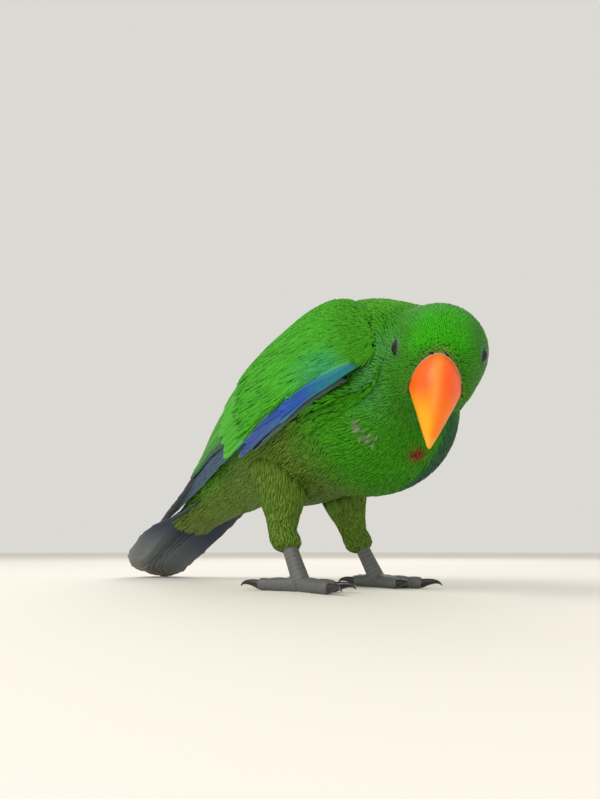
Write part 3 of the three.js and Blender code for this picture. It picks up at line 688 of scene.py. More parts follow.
def plumage(points):
    """The colour of the body's small feathers at points."""
    in_body, in_head = BODY.into(points), HEAD.into(points)
    s, side, n = np.split(in_body, 3, -1)
    under = mix(BELLY, BREAST, smooth(s, *BELLY_TO_BREAST))
    under = mix(VENT, under, smooth(s, *VENT_TO_BELLY))
    upper = mix(RUMP_GREEN, MANTLE, smooth(s, *RUMP_TO_MANTLE))
    colour = mix(under, upper, smooth(np.degrees(np.arctan2(n, np.abs(side))), *FLANK_ANGLES))
    mirrored = np.where([False, True, False], np.abs(in_head), in_head)
    forward, sideways, up = np.split(mirrored, 3, -1)
    face = mix(CHEEK, CROWN, smooth(up, -4, 9))
    face = mix(face, FOREHEAD, smooth(up, 2, 9) * smooth(14 - sideways, 0, 7) * smooth(forward, -4, 8))
    colour = mix(colour, face, smooth(34 - np.linalg.norm(in_head, axis=-1, keepdims=True), 0, 10))
    colour = mix(colour, SHEEN, 0.62 * near(mirrored, *SHEEN_PATCH))
    colour = mix(colour, BILL_RIM, 0.5 * smooth(bill_rim(in_head), 1.4, 0.5)[..., None])
    colour = mix(colour, EYE_RIM, 0.6 * near(mirrored, *EYE_PATCH))
    # The lower left side of the breast is darkened to slate-teal: painted shade.
    shaded = smooth(side, -1, 5) * smooth(-n, 16, 25) * smooth(s, 244, 262)
    colour = mix(colour, BREAST_PAINTED_SHADE, 0.85 * shaded)
    return mix(colour, FLANK_RED, np.minimum(1.6 * near(in_body, *RED_PATCH), 1))


# Bill, as arches fanned from a pivot at the gape

BILL_PIVOT = (10, -13)
UPPER_BILL = [  # degrees below straight ahead, inner and outer distance, half width
    (-78, 5, 17.5, 4.5),
    (-60, 5, 21.5, 7.8),
    (-38, 5, 25.5, 10),
    (-14, 5, 27.5, 10.4),
    (2, 9, 28.8, 9),
    (14, 15, 30, 6.6),
    (24, 21.5, 31.2, 3.9),
    (31, 29, 32.2, 1.1),
]
LOWER_BILL = [
    (10, 3, 11, 8),
    (28, 3, 15.5, 8.6),
    (52, 3, 15, 8),
    (80, 3, 11.5, 6),
]
BILL_RED = linear(250, 92, 4)
BILL_YELLOW = linear(252, 168, 0)
# painted highlight along the ridge of the upper bill
BILL_RIDGE_HIGHLIGHT = linear(255, 150, 50)
BILL_TIP = linear(240, 178, 60)
LOWER_BLACK = linear(30, 27, 26)


def bill_points(rows, steps, arch):
    """Points of a half of the bill, with the angle and the turn round the arch of each."""
    angles = np.linspace(rows[0][0], rows[-1][0], steps + 1)[:, None]
    inner, outer, half = curves(rows, angles)
    turn = np.linspace(0, math.pi, arch + 1)
    ridge = 1 + 0.01 * bell(turn, math.pi / 2, 0.16)
    distance = inner + (outer - inner) * np.sin(turn) ** 0.9 * ridge
    angle = np.radians(angles)
    points = HEAD.at(
        BILL_PIVOT[0] + distance * np.cos(angle),
        -half * np.cos(turn),
        BILL_PIVOT[1] - distance * np.sin(angle),
    )
    return points, *np.broadcast_arrays(angles, turn)


def upper_bill_colour(angle, turn):
    # Orange-red at the base, yellow towards the tip; the yellow reaches further on the bird's right side
    # than on its left: painted light on the right and painted shade on the left.
    colour = mix(BILL_RED, BILL_YELLOW, smooth(angle, -20, 12) * (0.3 + 0.7 * smooth(turn, 1.9, 1.3)))
    # A pale band down the ridge of the upper bill: a painted highlight.
    ridge = bell(turn, math.pi / 2, 0.22) * smooth(angle, -60, -35) * smooth(18 - angle, 0, 30)
    colour = mix(colour, BILL_RIDGE_HIGHLIGHT, 0.6 * ridge)
    return mix(colour, BILL_TIP, smooth(angle, 18, 30) * 0.8)


def make_bill_half(name, rows, colour_of, material):
    points, angle, turn = bill_points(rows, 72, 44)
    lengths = pack(turn * 10, angle * 0.5)
    bakes = pack(0.05 + 0.8 * turn / math.pi, 0.05 + 0.9 * (angle - angle.min()) / np.ptp(angle))
    tints = np.broadcast_to(colour_of(angle[..., None], turn[..., None]), points.shape)
    gathered = Gathered().add(*closed_tube(points), *map(listed, (tints, lengths, bakes)))
    gathered.make(f"bill_{name}_horn", material, f"{name}_bill", [f"bill_{name}"])


# Wings

WING_FORM = [  # by distance from the tail tip: half width, height and depth of the outer form
    (40, 16, 12, 6),
    (70, 22.5, 16, 10),
    (100, 26, 23, 16),
    (130, 31, 33.5, 24),
    (160, 40, 44.5, 32),
    (200, 49, 54, 36),
    (240, 50.5, 56, 38),
    (270, 48.5, 51, 37.5),
    (296, 39, 38.5, 33.5),
]
WING_ROUNDING = 2.3
WING_INSET = 3
WING_BLEND = 4  # where the form passes into the trunk
WING_FRONT = 291
WING_EDGES = [  # lower and upper edge, in degrees up from level
    (60, -8, 60),
    (80, -8, 62),
    (105, -6, 68),
    (140, -8, 74),
    (200, -12, 70),
    (250, -14, 64),
    (280, -15, 46),
    (WING_FRONT, -4, 24),
]
LEFT_WING_DROOP = [(150, 0), (200, 4), (245, 8), (272, 0), (WING_FRONT, -2)]
# Lower and upper edge of the blue strip, as shares of the wing's height
STRIP_LOW = [(188, -0.1), (208, -0.05), (220, 0.01), (244, 0.045), (262, 0.08), (280, 0.105),
             (WING_FRONT, 0.11)]
STRIP_HIGH = [(188, 0.07), (208, 0.1), (218, 0.13), (236, 0.155), (250, 0.17), (264, 0.185),
              (WING_FRONT, 0.195)]


class WingSurface(Grid):
    """The form a folded wing lies on: rows from the shoulder to the tip."""

    FIRST, LAST, STEP = 298, 52, 2
    LOW, HIGH = -0.14, 1.14  # shares of the wing's height at the two sides
    COLUMNS = 72

    def __init__(self, side):
        self.side = side
        s = np.arange(self.FIRST, self.LAST, -self.STEP, dtype=float)
        share = np.linspace(self.LOW, self.HIGH, self.COLUMNS)
        if side < 0:
            share = share[::-1]
        low, high = curves(WING_EDGES, s[:, None])
        if side > 0:
            low = low - profile(LEFT_WING_DROOP, s)
        angle = np.radians(mix(low, high, share))
        half, height, depth = curves(WING_FORM, s[:, None])
        upright = np.abs(np.sin(angle)) / np.where(angle > 0, height, depth)
        form = (np.abs(np.cos(angle)) / half) ** WING_ROUNDING + upright**WING_ROUNDING
        form = form ** (-1 / WING_ROUNDING) - WING_INSET
        directions = pack(0, side * np.cos(angle), np.sin(angle)) @ BODY.rows
        origins = np.broadcast_to(BODY.at(s, 0, 0)[:, None], directions.shape)
        inside = TRUNK(origins[:, 0]) < 0
        trunk = np.zeros(form.shape)
        trunk[inside] = reach(TRUNK, origins[inside], directions[inside], GAP)
        blend = np.maximum(1 - np.abs(trunk - form) / WING_BLEND, 0)
        distance = np.maximum(trunk, form) + blend**2
        self.stand = (distance - trunk)[..., None]  # height above the trunk
        super().__init__(origins + directions * distance[..., None], ring=False)

    def from_edge(self, value):
        """A column counted from the wing's lower edge, or back."""
        return self.COLUMNS - 1 - value if self.side < 0 else value

    def spot(self, s, share):
        """Row and column of a place on the wing."""
        column = (share - self.LOW) / (self.HIGH - self.LOW) * (self.COLUMNS - 1)
        return (self.FIRST - s) / self.STEP, self.from_edge(column)

    def place_of(self, row, column):
        """Distance from the tail tip and share of the wing's height."""
        share = self.LOW + self.from_edge(column) / (self.COLUMNS - 1) * (self.HIGH - self.LOW)
        return self.FIRST - row * self.STEP, share


def wing_colour(s, share):
    """The colour of a wing's coverts by place."""
    below, above = profile(STRIP_LOW, s), profile(STRIP_HIGH, s)
    s, share = s[..., None], share[..., None]
    green = mix(WING_GREEN, MANTLE, smooth(share, 0.5, 1.0) * 0.6)
    green = mix(green, WING_TEAL, 0.5 * smooth(s, 246, 268) * smooth(0.5 - share, 0, 0.3))
    green = mix(green, NECK_GREEN, smooth(s, 270, 279))
    strip = mix(STRIP_VIOLET, STRIP_BLUE, smooth(s, 210, 245))
    strip = mix(strip, STRIP_TEAL, smooth(s, 246, 270))
    green = mix(green, mix(BELLY, BREAST, smooth(s, *BELLY_TO_BREAST)), smooth(below - share, -0.02, 0.03))
    within = smooth(above - share, 0, 0.02) * smooth(share - below, -0.02, 0.01)
    return mix(green, strip, within * smooth(s, 188, 196) * smooth(281 - s, 0, 4))


# Kind, count, first and last root, first and last tip, as (distance from the tail tip, share of the
# height), first and last width, rise at root and tip, rise from one vane to the next, lean, point
WING_VANES = [
    ("primary", 10, ((208, 0.1), (200, 0.5)), ((58, 0.36), (118, 0.6)),
     (11, 13), (0.6, 0.7), 0.11, 0.2, 0.12),
    ("secondary", 16, ((205, 0.16), (215, 0.97)), ((114, 0.5), (142, 0.97)),
     (9.5, 10.5), (1.9, 2.5), 0.05, 0.22, 0.05),
    ("strip", 7, ((262, 0.115), (260, 0.17)), ((196, 0), (206, 0.085)),
     (4, 4.6), (2, 2.7), 0.05, 0.15, 0.15),
    ("edge", 4, ((272, 0.1), (270, 0.13)), ((206, -0.02), (216, 0.03)),
     (3, 3.4), (-1.8, 1.5), 0.1, 0.15, 0.2),
    ("covert", 20, ((240, 0.13), (240, 0.97)), ((178, 0.11), (174, 0.97)),
     (7, 8), (2.3, 2.9), 0.045, 0.2, 0.1),
    ("covert", 6, ((279, 0.135), (278, 0.185)), ((232, 0.05), (238, 0.145)),
     (3.2, 4), (2.2, 3.2), 0.05, 0.15, 0.25),
    ("covert", 22, ((254, 0.12), (250, 0.97)), ((206, 0.12), (200, 0.97)),
     (6, 7), (2.5, 3.1), 0.04, 0.2, 0.1),
]
ROOT_SPREAD = 0.4
TIP_SPREAD = 1.6


def wing_vane_paint(surface, kind):
    """What paints one kind of vane, by its place, across and along it, its number and its side."""
    def paint(row, column, edge, t, index, under):
        outer = edge * -surface.side
        if kind == "primary":
            colour = mix(FLIGHT_BLUE, FLIGHT_DARK, smooth(t, 0.25, 0.75))
            colour = mix(colour, FLIGHT_EDGE, 0.35 * smooth(outer, 0.5, 1.0) * smooth(0.85 - t, 0, 0.25))
            return colour * (0.55 if under else 1)
        if kind == "edge":
            return mix(FLIGHT_DARK * 1.5, EDGE_GREY, smooth(outer, -0.2, 0.9)) * (0.55 if under else 1)
        if kind == "secondary":
            colour = mix(mix(WING_GREEN, MANTLE, 0.4), FLIGHT_BLUE, 0.75 * smooth(index, 1.6, 0.4))
            return FLIGHT_DARK * 1.4 if under else mix(colour, colour * 0.72, smooth(outer, 0.1, 0.9) * 0.5)
        colour = wing_colour(*surface.place_of(row, column))
        if kind == "strip":
            colour = mix(colour, FLIGHT_EDGE, 0.3 * smooth(outer, 0.6, 1.0))
        # Coverts and strip vanes are darker towards the root, painted shade where the row before overlaps
        # them, and a little lighter at their edges; undersides at half brightness.
        return colour * (0.82 + 0.22 * t + 0.08 * np.abs(edge)) * (0.5 if under else 1)

    return paint


def lay_wing_rows(gathered, surface):
    for kind, count, roots, tips, width, rise, step, lean, pointed in WING_VANES:
        share = np.linspace(0, 1, count)[:, None]
        index = np.arange(count)[:, None]
        ends = []
        for (first, last), spread in ((roots, ROOT_SPREAD), (tips, TIP_SPREAD)):
            s, height = mix(np.array(first), np.array(last), share).T
            ends.append(np.stack(surface.spot(s + DRAWS.normal(0, spread, count), height), -1))
        rise = np.array(rise) + step * index + 0.05 * (index % 2)
        paint = wing_vane_paint(surface, kind)
        lean = lean * surface.side
        lay_vanes(gathered, surface, *ends, mix(*width, share[:, 0]), rise, lean, paint, pointed=pointed)


SHOULDER_HEIGHT = [(200, 3.6), (225, 3.8), (245, 3.8), (262, 3.2), (280, 1.8), (291, 0.3)]
SHOULDER_START = 212
LOWER_START = 234  # of the small feathers below the strip


def lay_shoulder(gathered, surface):
    """The small coverts from the bend of the wing up to the shoulder, and below the strip."""
    def gap(row):
        return 1.8 + 1.3 * smooth(288 - surface.place_of(row, 0)[0], 0, 70)

    row, column = scatter(surface, gap)
    s, share = surface.place_of(row, column)
    below, above = curve(STRIP_LOW, s), curve(STRIP_HIGH, s)
    beside = (share > above + 0.01) | (share < below - 0.02) | (s > 284)
    keep = (s > SHOULDER_START) & (s < WING_FRONT) & beside & (share < 1.02)
    keep &= (share > above) | (s > LOWER_START)
    row, column, s, share = row[keep], column[keep], s[keep], share[keep]
    lower = smooth(below[keep] - share, -0.02, 0.05)
    flush = -np.minimum(surface.read(surface.stand, row, column)[:, 0], 8)
    raised = curve(SHOULDER_HEIGHT, s) - 0.3 + smooth(share, 0.3, 1) * smooth(WING_FRONT - s, 5, 40)
    size = gap(row) * (1 - 0.5 * lower)
    lay_tufts(gathered, surface, row, column, size * 5.5, size * 2.3, mix(raised, flush, lower), 0.5,
              lambda _: wing_colour(s, share), turn=0.04)


ARM_EDGE = [(130, 0.45), (150, 0.36), (170, 0.26), (190, 0.16), (210, 0.08), (244, 0.08), (262, 0.11),
            (WING_FRONT, 0.14)]
ARM_SPAN = (282, 130)
ARM_TOP = 0.98  # share of the wing's height
ARM_STATIONS = 60
ARM_COLUMNS = 24
ARM_THICKNESS = (2.1, 1.2)  # above and below the wing's form


def lay_arm(gathered, surface):
    """The folded arm under the coverts."""
    s = np.linspace(*ARM_SPAN, ARM_STATIONS)[:, None]
    across = np.linspace(0, 1, ARM_COLUMNS)
    share = mix(profile(ARM_EDGE, s[:, 0]), ARM_TOP, across)
    taper = np.sin(math.pi * np.linspace(0.03, 0.94, ARM_STATIONS))[:, None] ** 0.6
    rounding = 0.4 + 0.6 * np.sin(math.pi * across) ** 0.5
    row, column = surface.spot(s, share)
    over, under = ARM_THICKNESS
    sheets = [surface.place(row, column, over * taper * rounding), surface.place(row, column, -under)]
    bakes = pack(share * 0.01, s * 0.0003)
    faces = sheet_faces(ARM_STATIONS, ARM_COLUMNS)
    # The arm takes the coverts' colours at 0.55 of their brightness: painted shade where it shows between
    # the coverts.
    gathered.add(np.array(sheets[::surface.side]), [faces], wing_colour(s, share) * 0.55, bakes=bakes)


# Tail

TAIL_PAIRS = 6
TAIL_FEATHER_WIDTH = 18
TAIL_FEATHER_STEP = 0.7
TAIL_TOP = 3.8
TAIL_ARCH = 3
TAIL_DROOP = 16
TAIL_ROLL = 18
TAIL_ROOTS = (2.5, 18)  # to the side, of the middle and of the outer pair
TAIL_OUTER_TIP = 10
COVERT_LENGTH = 38
COVERT_ENDS = (15, 6.5)


def tail_bend(s, y, n):
    share = np.maximum(1 - s / TAIL_JOIN, 0)
    roll = np.radians(TAIL_ROLL) * smooth(share, 0.15, 0.65)
    up = n * np.cos(roll) - y * np.sin(roll) - TAIL_DROOP * share**3
    return BODY.at(s, y * np.cos(roll) + n * np.sin(roll), up)


class TailSurface(Grid):
    FIRST, LAST, STEP, HALF = 122, -6, 2, 32

    def __init__(self):
        s = np.arange(self.FIRST, self.LAST, -self.STEP, dtype=float)[:, None]
        y = np.arange(self.HALF, -self.HALF - 1, -1, dtype=float)
        super().__init__(tail_bend(s, y, -TAIL_ARCH * (y / (TAIL_WIDTH / 2)) ** 2), ring=False)

    def spot(self, s, y):
        return (self.FIRST - s) / self.STEP, self.HALF - y


def tail_paint(row, column, edge, t, index, under):
    if under:
        # Slate undersides, paler towards the tip; those of the feathers on the bird's left (odd numbers) are
        # 35% darker: painted shade on the side away from the light.
        colour = mix(TAIL_SLATE * 1.1, TAIL_PALE, smooth(t, 0.45, 0.95)) * (1 - 0.35 * (index % 2))
    else:
        colour = mix(RUMP_GREEN * 0.5, TAIL_BLUE, smooth(t, 0.15, 0.5))
        colour = mix(colour, FLIGHT_DARK, smooth(t, 0.45, 0.9))
    colour = mix(colour, TAIL_TIP, (0.75 if under else 0.5) * smooth(t, 0.945, 1.0))
    return colour * (1 + 0.12 * np.abs(edge))


def make_tail(material):
    surface, gathered = TailSurface(), Gathered()
    roots, tips, rise = [], [], []
    for pair in range(TAIL_PAIRS):
        share = pair / (TAIL_PAIRS - 1)
        height = TAIL_TOP - TAIL_FEATHER_STEP * pair
        for side in (-1, 1):
            spread = mix(TAIL_ROOTS[0], (TAIL_WIDTH - TAIL_FEATHER_WIDTH) / 2, share)
            roots.append(surface.spot(TAIL_JOIN - 4, side * mix(*TAIL_ROOTS, share)))
            tips.append(surface.spot(TAIL_OUTER_TIP * share**2, side * spread))
            rise.append((height, height - 0.2 * (side > 0)))
    lay_vanes(gathered, surface, roots, tips, TAIL_FEATHER_WIDTH, rise, 0, tail_paint,
              stations=34, thickness=0.45)
    gathered.make("tail_vanes", material, "tail_feathers", ["tail"])


class RumpSurface(Grid):
    """Round the root of the tail, from the rump down onto the tail."""

    FIRST, LAST, STEP, COLUMNS = 122.0, 70.0, 1.5, 96

    def __init__(self):
        start = TAIL_JOIN - 0.8
        s = np.arange(self.FIRST, self.LAST, -self.STEP)[:, None]
        angle = ring_angles(self.COLUMNS)
        directions = pack(0, np.cos(angle), np.sin(angle)) @ BODY.rows
        rump = reach(TRUNK, np.broadcast_to(BODY.at(start, 0, 0), directions.shape), directions, -2.2)
        end = 1 / np.hypot(np.cos(angle) / COVERT_ENDS[0], np.sin(angle) / COVERT_ENDS[1])
        share = np.clip((start - s) / COVERT_LENGTH, 0, 1.25)
        radius = mix(rump, end - 1.2, np.minimum(share**1.2, 1))
        super().__init__(tail_bend(s, radius * np.cos(angle), radius * np.sin(angle)), ring=True)


# Thighs

THIGH_RADII = (19, 6.2)


def leg_joints(side):
    """Hip, ankle and foot, the last on the floor."""
    hip = BODY.at(HIP[0], side * HIP[1], HIP[2])
    ankle = np.array([ANKLE[0], side * ANKLE[1], ANKLE[2]], float)
    return hip, ankle, np.array([FOOT[0], side * FOOT[1], 0.0])


class ThighSurface(Grid):
    def __init__(self, side):
        hip, ankle, foot = leg_joints(side)
        down = unit(ankle - hip)
        a = unit(np.cross(down, (0, 1, 0)))
        b = np.cross(a, down)
        t = np.linspace(-0.15, 1.3, 54)[:, None, None]
        angle = ring_angles(56)[:, None]
        radius = mix(*THIGH_RADII, np.clip(t, 0, 1)) - 2.0 * smooth(1.2 - t, 0, 0.5)
        radius = radius * rounded(t, 1.2, 0.11, 0.15)
        centre = hip + (ankle - hip) * np.minimum(t, 1) + (foot - ankle) * np.maximum(t - 1, 0)
        super().__init__(centre + (np.cos(angle) * a + np.sin(angle) * b) * radius, ring=True)


# Skin

def joined_shells(shells, voxel, rounds):
    """Points and quads of one closed surface round overlapping tubes of points."""
    points, faces, count = [], [], 0
    for shell in shells:
        own, sides = closed_tube(shell)
        points.append(own)
        faces += [face for f in sides for face in (f + count).tolist()]
        count += len(own)
    mesh = bpy.data.meshes.new("shells")
    mesh.from_pydata((np.concatenate(points) / 1000).tolist(), [], faces)
    raw = add_object("shells", mesh)
    remesh = raw.modifiers.new("join", "REMESH")
    remesh.mode = "VOXEL"
    remesh.voxel_size = voxel / 1000
    relax = raw.modifiers.new("relax", "SMOOTH")
    relax.factor, relax.iterations = 0.5, rounds
    whole = bpy.data.meshes.new_from_object(raw.evaluated_get(bpy.context.evaluated_depsgraph_get()))
    found = np.empty(len(whole.vertices) * 3)
    whole.vertices.foreach_get("co", found)
    quads = np.empty(len(whole.loops), np.int32)
    whole.loops.foreach_get("vertex_index", quads)
    bpy.data.objects.remove(raw)
    bpy.data.meshes.remove(mesh)
    bpy.data.meshes.remove(whole)
    return found.reshape(-1, 3) * 1000, quads.reshape(-1, 4)


def nearest_spread(found, shells, parts):
    """A place on an unwrap for each point: the shells' own rows and columns, one above the other."""
    unwrap = []
    for shell, (low, high) in zip(shells, parts):
        rows, columns = shell.shape[:2]
        i, j = cells(rows, columns)
        unwrap.append(pack(j.ravel() / columns, mix(low, high, i.ravel() / rows)))
    tree = tree_of(np.concatenate([shell.reshape(-1, 3) for shell in shells]))
    return np.concatenate(unwrap)[[tree.find(p)[1] for p in found]]


def make_skin(shells, replaced, material):
    """One closed skin joined from overlapping shells, with the coat's own markings at 0.85 of their
    brightness: painted shade where it shows between the feathers.
    """
    found, quads = joined_shells(shells, voxel=1.3, rounds=3)
    spread = nearest_spread(found, shells, [(0, 0.7), (0.72, 0.79), (0.81, 0.88), (0.90, 0.97)])
    Gathered().add(found, [quads], plumage(found) * 0.85, bakes=spread).make(
        "skin", material, "body_feathers", replaced)


# Where the coat grows

EYE_CLEARANCE = 3.4  # from the eye's axis


def eye_axis(side):
    """The middle of an eye, and the direction it looks in."""
    outward = unit(HEAD.rows[1] * side + HEAD.rows[0] * EYE_TURN)
    return HEAD.at(EYE_CENTRE[0], side * EYE_CENTRE[1], EYE_CENTRE[2]), outward


def from_eye(points):
    """Distance from the line through the middle of the nearer eye."""
    nearest = np.full(points.shape[:-1], 50.0)
    for side, _ in SIDES:
        centre, outward = eye_axis(side)
        offset = points - centre
        along = offset @ outward
        distance = np.linalg.norm(offset - along[..., None] * outward, axis=-1)
        nearest = np.where(along > 0, np.minimum(nearest, distance), nearest)
    return nearest


def by_wing(points):
    """Distance from the tail tip, and share of a folded wing's height at that distance."""
    s, side, n = np.moveaxis(BODY.into(points), -1, 0)
    low, high = curves(WING_EDGES, s)
    return s, (np.degrees(np.arctan2(n, np.abs(side))) - low) / (high - low)


def under_wing(points):
    """Whether points are well covered by a folded wing."""
    s, share = by_wing(points)
    return (share > 0.3) & (share < 0.88) & (s > 96) & (s < 276)


def under_wing_front(points):
    s, share = by_wing(points)
    return (share > 0) & (share < 1) & (s > 240) & (s < WING_FRONT)


COAT = [  # by row of the skin, from the bill back: gap between feathers and their length
    (0, 0.85, 2.6),
    (26, 0.85, 3.6),
    (FACE_ROWS, 1.1, 5),
    (FACE_ROWS + 30, 1.45, 7.5),
    (FACE_ROWS + 62, 1.95, 10.5),
    (FACE_ROWS + 95, 2.5, 13.5),
    (LAST_ROW, 2.8, 15),
]
COAT_PARTS = [  # name, first row and blades of a feather
    ("face", 0, 3),
    ("head", FACE_ROWS, 3),
    ("neck", FACE_ROWS + 34, 4),
    ("body", FACE_ROWS + 82, 5),
    ("", LAST_ROW, 0),
]


def lay_coat(material):
    def allowed(points):
        open_face = bill_rim(HEAD.into(points)) > 0.3
        return open_face & (from_eye(points) > EYE_CLEARANCE + 0.45) & ~under_wing(points)

    row, column = scatter(SKIN, lambda row: curve(COAT, row), allowed)
    gaps, length = curves(COAT, row)
    length = length * DRAWS.normal(1, 0.08, len(row))
    root = SKIN.place(row, column)
    small = 0.5 + 0.5 * smooth(bill_rim(HEAD.into(root)), 0.3, 5)
    length = length * small
    for _ in range(4):
        tip = SKIN.place(SKIN.march(row, column, length), column)
        length = np.where(from_eye(tip) > EYE_CLEARANCE + 0.4, length, length * 0.75)
    tip = SKIN.place(SKIN.march(row, column, length), column)
    climb = 0.9 + 0.8 * curve(SHOULDER_HEIGHT, BODY.into(tip)[:, 0])
    climb = climb * (1 - 0.6 * smooth(BODY.into(root)[:, 1], -10, 10))
    climb = np.where(under_wing_front(tip) & ~under_wing_front(root), climb, 0)
    width, depth = gaps * 2.3 * small, curve(COAT_DEPTH, row)
    for (name, low, blades), (_, high, _) in zip(COAT_PARTS, COAT_PARTS[1:]):
        own = (row >= low) & (row < high)
        lift = depth[own] * DRAWS.uniform(0.9, 1.02, own.sum()) + climb[own]
        gathered = Gathered()
        lay_tufts(gathered, SKIN, row[own], column[own], length[own], width[own], depth[own] * 0.05, lift,
                  plumage, blades=blades, bake_rows=(low, high))
        gathered.make(f"feathers_{name}", material, "body_feathers")


def lay_patch(name, surface, gap, length, width, lift, material, blades=5, allowed=None, end=math.inf):
    """Feathers over one surface as far as an end row, their sizes given as shares of the gap."""
    row, column = scatter(surface, gap, allowed)
    row, column = row[row < end], column[row < end]
    gaps = gap(row)
    gathered = Gathered()
    lay_tufts(gathered, surface, row, column, gaps * length, gaps * width, 0.1, lift, plumage, blades=blades)
    gathered.make(f"feathers_{name}", material, "body_feathers")


def lay_down(material):
    """Pale down showing between breast and flank, on the right."""
    middle = BODY.at(265, -32, -31)
    i, j = np.unravel_index(np.linalg.norm(SKIN.points - middle, axis=-1).argmin(), SKIN.points.shape[:2])
    count = 28
    row = i + DRAWS.normal(0, 1.0, count)
    column = j + DRAWS.normal(0, 2.2, count)
    length = DRAWS.uniform(2.5, 4.8, count)
    lift = DRAWS.uniform(0.3, 0.8, count)
    gathered = Gathered()
    lay_tufts(gathered, SKIN, row, column, length, 0.6, 1.5, lift,
              lambda roots: mix(plumage(roots), DOWN_WHITE, DRAWS.uniform(0.1, 0.9, (count, 1))),
              blades=9, turn=0.3, spread=3.5)
    gathered.make("down_tuft", material, "body_feathers")


# Round things: tubes, eyes, lids

def tube(path, radii, columns, lateral, flat=1.0, ridges=None):
    """Points of a tube along a path; flat squashes it across, and ridges(along, turn) adds to it."""
    path, radii = np.array(path, float), np.array(radii, float)
    tangent = unit(np.gradient(path, axis=0))
    a = unit(lateral - (tangent * lateral).sum(-1, keepdims=True) * tangent)
    b = np.cross(a, tangent)
    turn = ring_angles(columns)
    radius = radii[:, None] + (ridges(lengths_along(path)[:, None], turn) if ridges else 0)
    across, upright = (radius * np.cos(turn) * flat)[..., None], (radius * np.sin(turn))[..., None]
    return path[:, None] + (across * a[:, None] + upright * b[:, None])


PUPIL = linear(6, 5, 6)
PUPIL_EDGE = (28, 31)  # degrees from the eye's axis, as are the next two
IRIS = linear(38, 18, 10)
IRIS_EDGE = (36, 42)
IRIS_RIM = linear(22, 12, 8)
LID_SPAN = (43, 80)
LID = linear(62, 116, 66)
LID_DARK = linear(30, 36, 34)


def round_eye(side, polar, turn, radius):
    """Points round the middle of an eye, by angle from its axis and turn about it."""
    centre, outward = eye_axis(side)
    a = unit(np.cross(outward, (0, 0, 1)))
    radial = np.cos(turn)[..., None] * a + np.sin(turn)[..., None] * np.cross(outward, a)
    out, height = (radius * np.sin(polar))[..., None], (radius * np.cos(polar))[..., None]
    return centre + radial * out + outward * height


def make_eye(side, name, material):
    polar = np.radians(np.linspace(1, 179, 60))[:, None]
    turn = ring_angles(64)
    bulge = 1 + 0.05 * bell(polar, 0, 0.55)
    points = round_eye(side, polar, turn, EYE_RADIUS * bulge)
    degrees = np.degrees(polar)[..., None]
    streaks = 0.25 * np.sin(turn * 23)[:, None] * (degrees > PUPIL_EDGE[0] - 1)
    colour = mix(PUPIL, IRIS, smooth(degrees, *PUPIL_EDGE)) * (1 + streaks)
    colour = mix(colour, IRIS_RIM, smooth(degrees, *IRIS_EDGE))
    add_tube(Gathered(), points, colour).make(f"eye_{name}_ball", material, "eye", [f"eye_{name}"])


def make_lid(side, name, material):
    """The bare rim of the eye, with the fine folds of its skin."""
    rows, columns = 96, 22
    turn, fold = ring_angles(rows)[:, None], ring_angles(columns)
    first, last = LID_SPAN
    polar = mix(first + 3 * np.sin(turn) ** 2, last, (1 + np.cos(fold)) / 2)
    folds = 0.04 * np.sin(turn * 17) + 0.03 * np.sin(turn * 31 + 1)
    radius = EYE_RADIUS + 0.27 + (0.2 + folds) * np.sin(fold)
    points = round_eye(side, np.radians(polar), turn, radius)
    shade = smooth(polar, first + 3, first + 10)[..., None]
    # Lighter where the folds stand out and darker between them: painted light and shade on the folds.
    tints = mix(LID_DARK, LID, shade) * (1 + 0.1 * np.sin(turn * 17)[..., None])
    i, j = cells(rows, columns)
    bakes = pack(i / rows, j / columns) * 0.9 + 0.05
    gathered = Gathered().add(points, [grid_faces(rows, columns, torus=True)], tints, bakes=bakes)
    gathered.make(f"lid_{name}", material, "body_feathers")


CERE = linear(170, 138, 92)
# painted shade standing in for the nostrils' openings
NOSTRIL_SHADE = linear(30, 22, 20)


def make_cere(material):
    """The narrow bare band from which the bill grows, over its top and down its sides."""
    forward, left, up = HEAD.rows
    points, _, _ = bill_points(UPPER_BILL, 400, 60)
    first = (FLESH(points) > 0.15).argmax(0)
    path = points[first, np.arange(points.shape[1])][5:-5]
    for _ in range(4):
        path[1:-1] = (path[:-2] + 2 * path[1:-1] + path[2:]) / 4
    share = np.linspace(-1, 1, len(path))
    radii = 0.3 + 0.3 * np.sqrt(np.clip(1 - share**2, 0, 1)) + 0.04 * np.sin(share * 40)
    gathered = add_tube(Gathered(), tube(path, radii, 14, forward), CERE)
    for side in (-1, 1):
        # Each nostril is a small dark tube on the cere: painted shade for its opening.
        spot = path[np.abs(share - side * 0.22).argmin()] + up * 0.7 - forward * 0.2
        hole = [spot - left * 0.9, spot, spot + left * 0.9]
        add_tube(gathered, tube(hole, [0.25, 0.75, 0.25], 12, forward), NOSTRIL_SHADE)
    gathered.make("cere", material, "foot_skin")


# Feet

SHANK_RADII = (4.4, 4.8)
TOES = [(14, 26), (-16, 19), (158, 24), (196, 14)]  # direction from straight ahead, and length
TOE_RADIUS = 3.4
TOE_ROOT_RADIUS = 4
TOE_SINK = 0.5
TOE_HEIGHT = TOE_RADIUS - TOE_SINK
CLAW_LENGTH = 10
CLAW_RADIUS = 2.2
CLAW_BEND = 1.35
FOOT_GREY = linear(92, 94, 92)
CLAW_DARK = linear(34, 31, 30)
CLAW_TIP = linear(70, 64, 60)
SCUTE_PITCH = 1.9  # millimetres from one plate to the next
FOOT_CELLS = 5  # strips of the unwrap, for the shank and the toes
CELL_SHARE = 0.18


def scute_steps(along):
    return np.abs(np.sin(math.pi * along / SCUTE_PITCH)) ** 0.4


